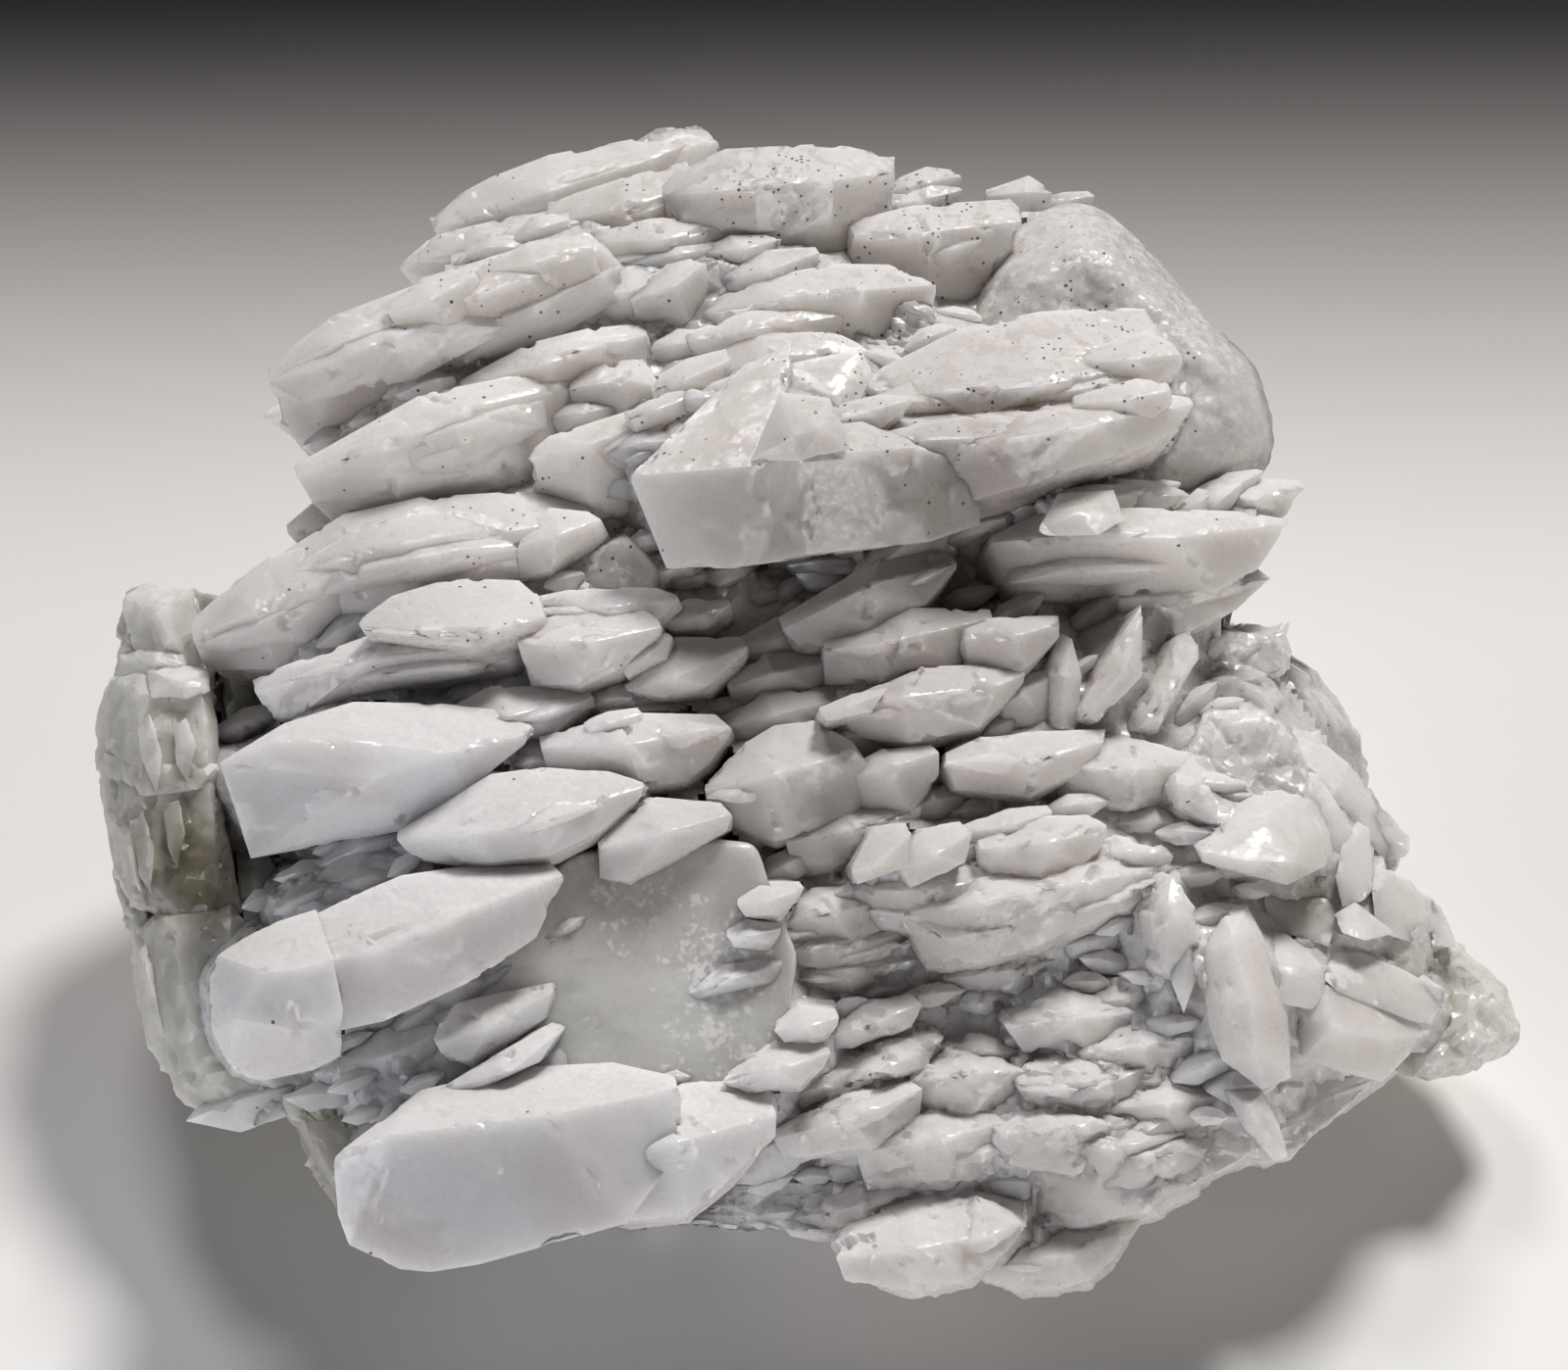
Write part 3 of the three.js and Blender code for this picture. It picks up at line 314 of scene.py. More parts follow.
def blockSurface(block, seed):
    block = {**blockLook, **block}
    outline = np.array(block["outline"], float)
    front, back, frontShare, shoulder = block["front"], block["back"], block["frontShare"], block["shoulder"]
    widest = front + (back - front) * block["widestAt"]
    corner = np.arange(len(outline))
    middle = outline.mean(0)
    share = frontShare * (1 + 0.08 * wobble(seed, 90 + corner))
    wide = share + (1 - share) * shoulder
    shoulderLevel = front + (widest - front) * (1 - shoulder) + 0.6 * wobble(seed, 120 + corner)
    if frontShare > 0.8:  # a plate: its shoulder is low and even
        wide = share + (1 - share) * 0.5
        shoulderLevel = (front + widest) / 2 + 0 * share
    frontLevel = front + 0.8 * wobble(seed, 30 + corner)
    widestLevel = widest + 1.5 * wobble(seed, corner)
    backLevel = back + 2 * wobble(seed, 60 + corner)
    closed = np.vstack([outline, outline[:1]])
    reach = np.append(0, np.cumsum(np.linalg.norm(np.diff(closed, axis=0), axis=1)))
    count = int(np.clip(reach[-1] / perMm / block["outlineStep"], 40, 220))
    goingRound = np.linspace(0, reach[-1], count, endpoint=False)

    def around(values):
        return np.interp(goingRound, reach, np.append(values, values[0]))

    drawn = np.stack([around(outline[:, 0]), around(outline[:, 1])], -1)
    inMiddle = middle + face["convergence"] * (massMiddle - middle)
    ringDrawn = [
        middle + (drawn - middle) * around(share)[:, None],
        middle + (drawn - middle) * around(wide)[:, None],
        drawn,
        inMiddle + (drawn - middle) * block["backShare"],
    ]
    ringLevel = [around(frontLevel), around(shoulderLevel), around(widestLevel), around(backLevel)]
    rings = [onFace(ring, level) for ring, level in zip(ringDrawn, ringLevel)]
    frontPoint = onFace(middle[None], np.array([frontLevel.mean()]))[0]
    backPoint = onFace(inMiddle[None], np.array([backLevel.mean()]))[0]
    rows = []
    stages = [np.broadcast_to(frontPoint, rings[0].shape)] + rings + [np.broadcast_to(backPoint, rings[0].shape)]
    for k, (this, onward) in enumerate(zip(stages[:-1], stages[1:])):
        gap = np.linalg.norm(onward - this, axis=-1).max()
        step = block["frontStep"] if k < 3 else block["backStep"]
        part = np.linspace(0, 1, int(np.clip(gap / step, 2, 50)), endpoint=False)
        rows.append(this[None] + (onward - this)[None] * part[:, None, None])
    grid = np.concatenate(rows, axis=0)[1:]
    outwards = gridNormals(grid)
    if np.einsum("ijk,ijk->ij", outwards, grid - grid.mean((0, 1))).mean() < 0:
        outwards = -outwards
    for _ in range(block["worn"]):
        grid = 0.5 * grid + 0.25 * (np.roll(grid, 1, 1) + np.roll(grid, -1, 1))
        grid[1:-1] = 0.5 * grid[1:-1] + 0.25 * (grid[:-2] + grid[2:])
    size = block["breakSize"]
    lift = block["breakDepth"] * (facetNoise(grid, size, seed) + 0.45 * facetNoise(grid, size / 2.4, seed + 3))
    fade = np.clip(np.arange(len(grid)) / 4.0, 0, 1)[:, None]
    lift = lift * fade - 0.4 * block["breakDepth"] + block["grain"] * softNoise(grid, 0.9, seed + 9)
    grid = grid + outwards * lift[..., None]
    flat = np.zeros(grid.shape[:2])
    attributes = {"upper": flat, "thin": flat, "tint": flat + wobble(seed, 77)}
    return grid, grid[0].mean(0), backPoint, attributes


# A boulder of the mass: a ball of directions stretched to its three radii and broken by cleaved noise.
def boulderSurface(boulder, seed):
    rows, cols = 60, 104
    polar = np.linspace(0, np.pi, rows + 2)[1:-1][:, None]
    turn = np.linspace(0, 2 * np.pi, cols, endpoint=False)[None, :]
    ball = np.stack([np.sin(polar) * np.cos(turn), np.sin(polar) * np.sin(turn), np.cos(polar) + 0 * turn], -1)
    radii = np.array(boulder["radii"], float)
    facets = 0.06 * facetNoise(ball * radii, 9.0, seed) + 0.025 * facetNoise(ball * radii, 3.5, seed + 1)
    grid = ball * radii * (0.96 + facets)[..., None]
    swing = np.radians(boulder.get("turn", 0))
    along, aside = np.cos(swing), np.sin(swing)
    grid = grid @ np.array([[along, aside, 0], [-aside, along, 0], [0, 0, 1]])
    grid = grid + np.array(boulder["at"], float)
    flat = np.zeros(grid.shape[:2])
    attributes = {"upper": flat, "thin": flat, "tint": flat + wobble(seed, 77)}
    return grid, grid[0].mean(0), grid[-1].mean(0), attributes


# The crystals by piece, as the front view shows them: how far the rim stands out, then the points of the top edge,
# rim and low edge from left to right, each x, y.
crystalRows = {
    "crownCrystals": [
        (-6, [438, 222, 460, 203, 500, 181, 560, 158, 650, 141], [443, 234, 560, 196, 655, 166, 700, 148],
         [446, 240, 540, 228, 640, 208, 700, 172]),
        (-9, [640, 150, 670, 131, 715, 127], [648, 166, 733, 146], [655, 186, 705, 170, 733, 148]),
        (-3, [424, 258, 442, 240, 640, 192], [427, 266, 540, 243, 700, 200],
         [432, 281, 510, 264, 600, 242, 700, 212]),
        (-2, [560, 206, 640, 180, 700, 165], [556, 228, 640, 212, 722, 185], [590, 246, 660, 236, 722, 212]),
        (2, [675, 190, 690, 175, 740, 152, 850, 146, 913, 160], [678, 198, 760, 190, 850, 184, 910, 176],
         [690, 238, 722, 256, 800, 240, 850, 222, 913, 185]),
        (1, [600, 236, 660, 222, 740, 214], [600, 248, 680, 244, 762, 226], [620, 290, 700, 272, 760, 246]),
        (-7, [895, 190, 945, 170, 978, 174], [897, 197, 940, 188, 981, 180], [905, 212, 950, 204, 981, 184]),
        (-5, [878, 214, 950, 189, 980, 190], [878, 220, 930, 206, 982, 194], [885, 240, 940, 226, 980, 200]),
        (-8, [1006, 194, 1050, 179, 1070, 192], [1007, 200, 1045, 196, 1074, 197], [1010, 214, 1045, 218, 1072, 206]),
        (-12, [1058, 204, 1085, 196, 1110, 195], [1058, 208, 1090, 204, 1117, 200], [1064, 218, 1112, 212]),
        (1, [865, 226, 930, 210, 1030, 203, 1041, 212], [872, 240, 945, 237, 1042, 226],
         [880, 264, 950, 302, 1022, 258, 1043, 232]),
        (4, [716, 312, 770, 285, 850, 269, 915, 270], [718, 319, 800, 303, 880, 296, 955, 291],
         [740, 338, 800, 346, 875, 349, 905, 338, 955, 297]),
        (1, [722, 252, 745, 240, 795, 240], [722, 258, 760, 254, 798, 244], [730, 274, 790, 262]),
        (2, [735, 278, 780, 255, 832, 252], [736, 284, 785, 276, 836, 258], [745, 300, 800, 290, 835, 268]),
        (3, [640, 300, 680, 270, 712, 262], [644, 308, 690, 292, 720, 268], [655, 330, 700, 316, 722, 290]),
        (5, [700, 340, 760, 318, 840, 312], [702, 348, 770, 336, 860, 322], [715, 372, 790, 362, 860, 346]),
        (7, [700, 380, 770, 337, 845, 335, 875, 350], [706, 390, 790, 364, 886, 358], [770, 424, 857, 428, 893, 380]),
        (7, [664, 388, 700, 366, 740, 356], [664, 396, 700, 388, 745, 368], [672, 420, 740, 396]),
    ],
    "upperLeftCrystals": [
        (7, [273, 378, 300, 352, 340, 322, 500, 262, 600, 234], [273, 384, 340, 352, 540, 284, 612, 254],
         [285, 432, 323, 460, 620, 322, 665, 298]),
        (7, [392, 312, 430, 284, 480, 268], [396, 320, 440, 306, 486, 280], [410, 342, 460, 330, 484, 300]),
        (6, [498, 268, 540, 246, 600, 240], [498, 276, 545, 268, 604, 252], [510, 296, 560, 292, 604, 268]),
        (2, [590, 296, 640, 272, 700, 262], [590, 304, 640, 298, 712, 272], [600, 334, 650, 330, 712, 296]),
        (5, [470, 388, 540, 350, 600, 335, 655, 330], [468, 396, 560, 370, 662, 345], [480, 412, 560, 402, 662, 366]),
        (8, [300, 475, 430, 402, 520, 384, 585, 376], [302, 484, 390, 454, 480, 416, 588, 392],
         [318, 512, 400, 505, 520, 482, 565, 462, 592, 428]),
        (5, [582, 380, 620, 365, 652, 360], [580, 396, 640, 388, 675, 395], [590, 438, 640, 424, 674, 400]),
        (8, [540, 462, 560, 445, 700, 400], [537, 468, 600, 454, 704, 414], [545, 500, 600, 512, 652, 510, 714, 432]),
        (9, [636, 420, 660, 404, 700, 398], [636, 426, 670, 418, 706, 404], [650, 440, 706, 420]),
        (-1, [292, 536, 320, 512, 400, 503], [294, 545, 350, 530, 408, 514], [310, 562, 400, 546]),
    ],
    "centreCrystals": [
        (10, [880, 392, 900, 375, 980, 335, 1060, 318, 1130, 314, 1168, 315],
         [878, 402, 960, 402, 1060, 394, 1192, 368],
         [890, 425, 1000, 430, 1190, 396, 1206, 368]),
        (13, [862, 446, 885, 425, 1160, 396, 1214, 406], [862, 456, 1000, 452, 1120, 432, 1218, 413],
         [868, 532, 922, 531, 1050, 494, 1150, 462, 1202, 440]),
        (9, [1100, 360, 1170, 336, 1196, 350], [1100, 372, 1160, 366, 1205, 362], [1110, 396, 1180, 392, 1207, 372]),
        (11, [1096, 404, 1160, 386, 1190, 390], [1096, 412, 1150, 408, 1196, 398], [1110, 436, 1170, 430, 1196, 412]),
        (4, [905, 540, 1000, 508, 1150, 462], [905, 552, 1020, 530, 1195, 462], [920, 590, 1020, 574, 1180, 492]),
        (9, [1012, 547, 1065, 520, 1165, 518, 1270, 522, 1313, 530], [1012, 554, 1070, 548, 1200, 549, 1314, 535],
         [1025, 582, 1035, 613, 1240, 603, 1284, 580]),
        (7, [1060, 508, 1090, 494, 1167, 495], [1058, 514, 1110, 512, 1168, 502], [1070, 530, 1150, 526]),
        (-1, [1226, 498, 1270, 487, 1325, 490], [1224, 508, 1280, 510, 1331, 498], [1236, 530, 1312, 526]),
        (3, [1204, 515, 1222, 498, 1232, 500], [1204, 520, 1222, 514, 1234, 506], [1210, 530, 1230, 524]),
        (4, [1080, 600, 1280, 578], [1080, 612, 1180, 610, 1296, 590], [1100, 650, 1200, 650, 1262, 622]),
        (5, [1092, 640, 1104, 606, 1186, 588], [1098, 700, 1150, 660, 1192, 600], [1112, 738, 1165, 738, 1192, 645]),
        (9, [1104, 722, 1140, 655, 1165, 616], [1108, 730, 1148, 682, 1167, 622], [1120, 736, 1165, 690]),
        (7, [1160, 736, 1196, 652, 1214, 643], [1163, 742, 1200, 700, 1223, 658], [1182, 745, 1223, 672]),
        (7, [1076, 740, 1070, 680, 1082, 646], [1084, 744, 1086, 690, 1094, 652], [1098, 742, 1104, 690]),
        (6, [1020, 712, 1030, 690, 1066, 684], [1022, 722, 1045, 706, 1074, 692], [1026, 746, 1070, 742, 1076, 710]),
    ],
    "middleCrystals": [
        (8, [795, 630, 900, 567, 930, 560, 968, 563], [800, 642, 885, 600, 976, 574],
         [820, 664, 885, 646, 945, 616, 976, 580]),
        (8, [842, 652, 930, 620, 1010, 622], [840, 662, 920, 652, 1013, 631],
         [842, 698, 900, 696, 980, 676, 1012, 645]),
        (9, [985, 642, 1010, 630, 1080, 628], [985, 652, 1040, 648, 1083, 636], [990, 692, 1040, 688, 1081, 650]),
        (10, [852, 718, 940, 680, 1040, 677], [858, 727, 920, 712, 1020, 699, 1046, 688],
         [870, 752, 930, 758, 1000, 742, 1044, 697]),
        (12, [836, 722, 870, 708, 905, 702], [837, 726, 870, 720, 900, 708], [845, 736, 890, 726]),
        (10, [965, 768, 1000, 752, 1060, 746, 1128, 744], [966, 778, 1050, 778, 1126, 757],
         [975, 806, 1050, 812, 1112, 785]),
        (9, [1075, 762, 1100, 748, 1160, 752, 1216, 769], [1078, 782, 1160, 786, 1220, 780],
         [1080, 812, 1150, 824, 1224, 822]),
        (10, [1200, 790, 1215, 772, 1232, 790], [1202, 800, 1225, 806, 1240, 828], [1205, 822, 1225, 836, 1242, 840]),
        (11, [718, 800, 760, 758, 790, 740, 830, 735, 870, 757], [720, 808, 790, 790, 874, 768],
         [725, 836, 790, 858, 870, 838, 900, 800]),
        (9, [862, 784, 900, 764, 950, 760], [864, 794, 905, 784, 958, 768], [872, 836, 930, 830, 958, 790]),
        (4, [732, 868, 760, 854, 795, 852], [732, 876, 770, 868, 802, 858], [740, 892, 796, 880]),
        (8, [800, 850, 860, 826, 930, 812], [802, 860, 870, 846, 940, 824], [812, 896, 880, 884, 940, 850]),
        (10, [985, 842, 1030, 826, 1068, 822], [985, 850, 1030, 844, 1074, 828], [995, 870, 1070, 850]),
        (12, [998, 858, 1070, 833, 1110, 832, 1128, 843], [1000, 866, 1070, 860, 1130, 847],
         [1006, 896, 1060, 900, 1105, 884, 1128, 856]),
        (14, [870, 884, 890, 843, 925, 840], [870, 890, 900, 880, 930, 850], [876, 902, 925, 884]),
        (13, [915, 880, 940, 846, 980, 838], [918, 888, 955, 872, 992, 850], [930, 906, 985, 880]),
        (10, [880, 898, 960, 880, 1060, 858], [872, 910, 960, 908, 1080, 878],
         [860, 940, 930, 950, 1040, 930, 1100, 880]),
        (12, [913, 922, 1000, 896, 1130, 862, 1200, 880], [916, 932, 1000, 920, 1110, 899, 1203, 885],
         [925, 946, 945, 987, 1010, 982, 1060, 964, 1152, 927, 1201, 890]),
        (9, [1110, 866, 1140, 852, 1190, 866], [1112, 874, 1150, 868, 1198, 874], [1120, 900, 1190, 896]),
    ],
    "lowerMiddleCrystals": [
        (9, [762, 908, 780, 900, 815, 900], [762, 916, 790, 912, 820, 906], [770, 930, 812, 922]),
        (8, [766, 936, 830, 906, 920, 900], [766, 948, 850, 932, 936, 914], [775, 966, 870, 962, 936, 934]),
        (7, [770, 966, 850, 948, 930, 940], [772, 975, 850, 966, 938, 950], [780, 990, 860, 990, 936, 972]),
        (6, [790, 990, 850, 972, 935, 970], [792, 998, 860, 990, 940, 980], [800, 1014, 870, 1014, 938, 1000]),
        (6, [940, 992, 1100, 940], [942, 1003, 1030, 990, 1110, 952], [955, 1024, 1040, 1014, 1108, 980]),
        (6, [1060, 962, 1100, 938, 1168, 936], [1062, 970, 1110, 962, 1174, 944], [1070, 990, 1168, 968]),
        (8, [838, 1052, 880, 1026, 930, 1016], [838, 1060, 880, 1050, 940, 1025], [850, 1074, 930, 1048]),
        (7, [788, 1060, 805, 1050, 826, 1050], [788, 1066, 810, 1062, 828, 1054], [796, 1076, 824, 1066]),
        (8, [842, 1104, 900, 1066, 955, 1054], [842, 1112, 900, 1094, 963, 1060], [852, 1124, 950, 1090]),
        (8, [745, 1098, 770, 1080, 808, 1076], [745, 1108, 780, 1100, 814, 1084], [755, 1132, 798, 1142, 812, 1110]),
        (7, [806, 1108, 830, 1086, 878, 1078], [806, 1120, 840, 1108, 884, 1086], [815, 1132, 870, 1110]),
        (9, [790, 1152, 870, 1118, 932, 1104], [790, 1162, 870, 1142, 940, 1112], [800, 1182, 890, 1172, 938, 1140]),
        (8, [930, 1092, 970, 1066, 1048, 1086], [928, 1104, 980, 1096, 1052, 1094],
         [935, 1130, 1000, 1138, 1050, 1112]),
        (7, [1026, 1052, 1060, 1022, 1146, 1024], [1026, 1062, 1080, 1050, 1152, 1032],
         [1030, 1092, 1080, 1098, 1146, 1066]),
        (9, [1066, 1112, 1110, 1082, 1162, 1084], [1066, 1120, 1120, 1112, 1168, 1090], [1076, 1138, 1160, 1120]),
        (7, [1108, 1018, 1140, 1000, 1184, 984], [1108, 1026, 1150, 1018, 1194, 992],
         [1120, 1050, 1170, 1044, 1196, 1010]),
        (9, [1062, 1140, 1100, 1129, 1210, 1141], [1056, 1162, 1140, 1174, 1215, 1157],
         [1038, 1245, 1100, 1252, 1175, 1238, 1224, 1214, 1222, 1180]),
        (8, [875, 1165, 950, 1132, 1040, 1120], [872, 1178, 960, 1162, 1066, 1138],
         [885, 1215, 980, 1210, 1060, 1180]),
        (2, [736, 1200, 800, 1172, 880, 1160], [736, 1208, 810, 1194, 890, 1170], [745, 1224, 830, 1226, 888, 1196]),
        (4, [796, 1236, 880, 1204, 950, 1190], [796, 1246, 880, 1230, 962, 1202], [806, 1262, 880, 1266, 960, 1236]),
        (9, [868, 1262, 930, 1240, 1000, 1219, 1048, 1236], [852, 1284, 940, 1274, 1050, 1250],
         [862, 1306, 930, 1318, 990, 1306, 1030, 1276]),
        (5, [1030, 1274, 1090, 1240, 1160, 1236], [1016, 1290, 1090, 1282, 1164, 1248],
         [1002, 1306, 1040, 1317, 1082, 1315, 1112, 1307, 1134, 1288, 1154, 1260]),
    ],
    "leftCrystals": [
        (9, [275, 572, 350, 525, 430, 507, 520, 502, 580, 503], [288, 588, 345, 573, 545, 538, 602, 522],
         [300, 630, 380, 628, 450, 612, 545, 590, 606, 532]),
        (7, [196, 632, 235, 597, 275, 568, 310, 558], [197, 652, 260, 622, 345, 582, 430, 572],
         [210, 683, 285, 683, 440, 606]),
        (8, [530, 545, 560, 518, 600, 522], [528, 556, 570, 546, 613, 530], [530, 590, 562, 582, 610, 536]),
        (12, [370, 630, 400, 608, 460, 590, 530, 592, 548, 606], [366, 637, 430, 643, 500, 643, 556, 630],
         [375, 652, 480, 660, 556, 642]),
        (9, [258, 694, 290, 679, 400, 640, 545, 638], [260, 706, 380, 673, 480, 663, 560, 655],
         [275, 731, 300, 734, 560, 694]),
        (11, [530, 644, 560, 630, 610, 616, 650, 618, 670, 630], [528, 656, 600, 656, 675, 640],
         [540, 698, 592, 699, 630, 683, 674, 646]),
        (9, [550, 608, 600, 598, 670, 600, 690, 607], [548, 616, 620, 620, 693, 612], [555, 630, 620, 638, 672, 632]),
        (8, [634, 676, 660, 650, 682, 646], [634, 682, 660, 670, 686, 650], [640, 692, 680, 672]),
        (5, [672, 630, 700, 610, 744, 612], [674, 637, 710, 629, 746, 617], [688, 644, 722, 641]),
        (8, [635, 697, 665, 670, 690, 650, 756, 650], [640, 705, 690, 691, 763, 660], [678, 712, 722, 699, 761, 666]),
        (9, [436, 735, 455, 724, 500, 700, 590, 697], [440, 740, 520, 731, 604, 710], [470, 752, 566, 748, 604, 716]),
        (11, [550, 752, 600, 738, 640, 727, 730, 729], [552, 763, 640, 760, 746, 743],
         [560, 792, 655, 804, 702, 797, 724, 778, 745, 750]),
        (10, [594, 736, 620, 726, 650, 722], [594, 741, 625, 738, 655, 728], [602, 750, 648, 742]),
        (15, [406, 848, 500, 790, 550, 783, 620, 787, 654, 797], [405, 857, 480, 850, 540, 839, 658, 803],
         [424, 878, 500, 880, 562, 873, 612, 848, 652, 814]),
        (13, [610, 860, 655, 812, 735, 819], [612, 867, 680, 849, 746, 831], [612, 896, 642, 900, 744, 846]),
        (8, [320, 890, 370, 862, 420, 850], [318, 905, 370, 890, 430, 868], [322, 940, 380, 930, 430, 900]),
        (12, [440, 1056, 462, 1024, 562, 1004], [444, 1064, 500, 1047, 564, 1012], [455, 1084, 482, 1081, 555, 1040]),
        (10, [345, 1080, 390, 1050, 450, 1030], [344, 1092, 400, 1076, 452, 1050], [352, 1118, 400, 1116, 452, 1086]),
        (13, [455, 1107, 520, 1069, 558, 1047], [457, 1112, 520, 1094, 571, 1054], [464, 1122, 550, 1084]),
        (15, [630, 1170, 690, 1110, 768, 1100, 785, 1116], [600, 1202, 690, 1166, 792, 1138],
         [575, 1240, 640, 1246, 700, 1240, 746, 1202, 791, 1160]),
    ],
    "rightCrystals": [
        (12, [1180, 940, 1178, 905, 1192, 893], [1186, 990, 1196, 940, 1202, 896],
         [1200, 1000, 1218, 960, 1220, 926]),
        (-1, [1318, 742, 1345, 748, 1402, 808], [1314, 752, 1350, 778, 1404, 822], [1322, 790, 1352, 812, 1396, 836]),
        (0, [1350, 800, 1396, 806, 1436, 852], [1345, 815, 1396, 834, 1436, 868], [1350, 850, 1396, 880, 1420, 892]),
        (1, [1362, 880, 1390, 860, 1412, 876], [1360, 892, 1388, 890, 1416, 892], [1366, 920, 1410, 920]),
        (-1, [1396, 890, 1440, 898, 1464, 918], [1390, 902, 1430, 918, 1466, 932], [1388, 948, 1430, 956, 1466, 958]),
        (4, [1352, 974, 1400, 966, 1472, 1010], [1350, 990, 1410, 998, 1474, 1026],
         [1362, 1014, 1420, 1040, 1462, 1056]),
    ],
    "hollowCrystals": [
        (4, [752, 652, 790, 630, 842, 626], [752, 662, 795, 650, 846, 636], [762, 690, 840, 668]),
        (5, [742, 690, 780, 666, 846, 664], [742, 700, 790, 688, 850, 676], [752, 728, 845, 706]),
        (6, [730, 734, 780, 706, 850, 700], [732, 744, 790, 730, 856, 714], [742, 770, 850, 748]),
        (5, [600, 660, 650, 640, 700, 640], [600, 672, 650, 664, 704, 652], [610, 700, 700, 680]),
        (6, [560, 700, 620, 690, 700, 700], [560, 712, 630, 712, 706, 708], [570, 740, 700, 734]),
        (1, [630, 262, 690, 240, 740, 238], [630, 272, 690, 260, 744, 250], [640, 300, 740, 280]),
        (4, [540, 420, 600, 400, 650, 400], [540, 430, 600, 420, 656, 410], [550, 460, 650, 444]),
        (5, [950, 1020, 1000, 1000, 1060, 990], [950, 1032, 1005, 1020, 1064, 1002], [962, 1060, 1060, 1040]),
        (6, [960, 1060, 1000, 1052, 1050, 1066], [958, 1070, 1005, 1072, 1054, 1076], [966, 1094, 1050, 1096]),
        (5, [850, 1012, 900, 992, 960, 990], [850, 1022, 900, 1010, 964, 1000], [860, 1046, 960, 1030]),
        (7, [1130, 830, 1180, 818, 1216, 832], [1130, 842, 1180, 838, 1220, 846], [1140, 868, 1214, 872]),
        (7, [1196, 866, 1230, 856, 1262, 880], [1194, 878, 1228, 880, 1264, 894], [1200, 910, 1260, 916]),
        (5, [690, 866, 720, 850, 752, 850], [690, 874, 722, 866, 756, 858], [698, 896, 752, 884]),
        (10, [396, 1010, 440, 985, 500, 990], [394, 1022, 440, 1006, 504, 1002], [404, 1052, 500, 1030]),
        (9, [640, 1090, 690, 1078, 730, 1090], [640, 1100, 690, 1098, 736, 1102], [650, 1130, 730, 1126]),
        (8, [1170, 960, 1176, 1040], [1180, 962, 1192, 1000, 1188, 1044], [1204, 966, 1216, 1010, 1206, 1050]),
        (8, [1110, 1170, 1160, 1110, 1230, 1090], [1120, 1190, 1180, 1150, 1250, 1110],
         [1150, 1210, 1210, 1190, 1262, 1150]),
        (10, [696, 1010, 740, 984, 796, 976], [696, 1016, 745, 1000, 798, 984], [706, 1026, 790, 1002]),
        (9, [556, 952, 580, 926, 602, 924], [556, 957, 582, 944, 604, 932], [566, 964, 600, 944]),
        (12, [752, 918, 775, 903, 812, 905], [752, 924, 785, 919, 814, 910], [760, 936, 795, 932, 812, 918]),
        (11.5, [792, 1045, 815, 1028, 852, 1030], [790, 1052, 825, 1048, 856, 1038],
         [800, 1064, 840, 1058, 854, 1046]),
        (12, [740, 1096, 790, 1066, 842, 1064], [738, 1104, 795, 1092, 848, 1074], [750, 1114, 815, 1106, 840, 1090]),
        (8.5, [1030, 1035, 1090, 1015, 1150, 1022], [1028, 1046, 1095, 1040, 1156, 1034],
         [1045, 1072, 1110, 1078, 1150, 1050]),
        (8.8, [1095, 1062, 1160, 1040, 1222, 1048], [1092, 1076, 1165, 1068, 1228, 1056],
         [1110, 1108, 1180, 1104, 1222, 1074]),
        (9.2, [1040, 1092, 1110, 1076, 1172, 1092], [1036, 1106, 1110, 1104, 1180, 1100],
         [1050, 1140, 1120, 1146, 1170, 1120]),
        (8.8, [1130, 1118, 1190, 1100, 1240, 1112], [1126, 1132, 1190, 1126, 1246, 1120],
         [1145, 1164, 1205, 1160, 1240, 1138]),
        (9.4, [1015, 1144, 1080, 1128, 1150, 1140], [1012, 1158, 1085, 1154, 1158, 1148],
         [1030, 1190, 1095, 1196, 1150, 1168]),
        (9.0, [1110, 1170, 1170, 1152, 1225, 1166], [1106, 1184, 1170, 1180, 1232, 1172],
         [1125, 1212, 1185, 1212, 1225, 1190]),
        (11, [742, 950, 762, 938, 795, 942], [742, 956, 770, 955, 797, 948], [750, 966, 785, 962, 796, 954]),
    ],
}

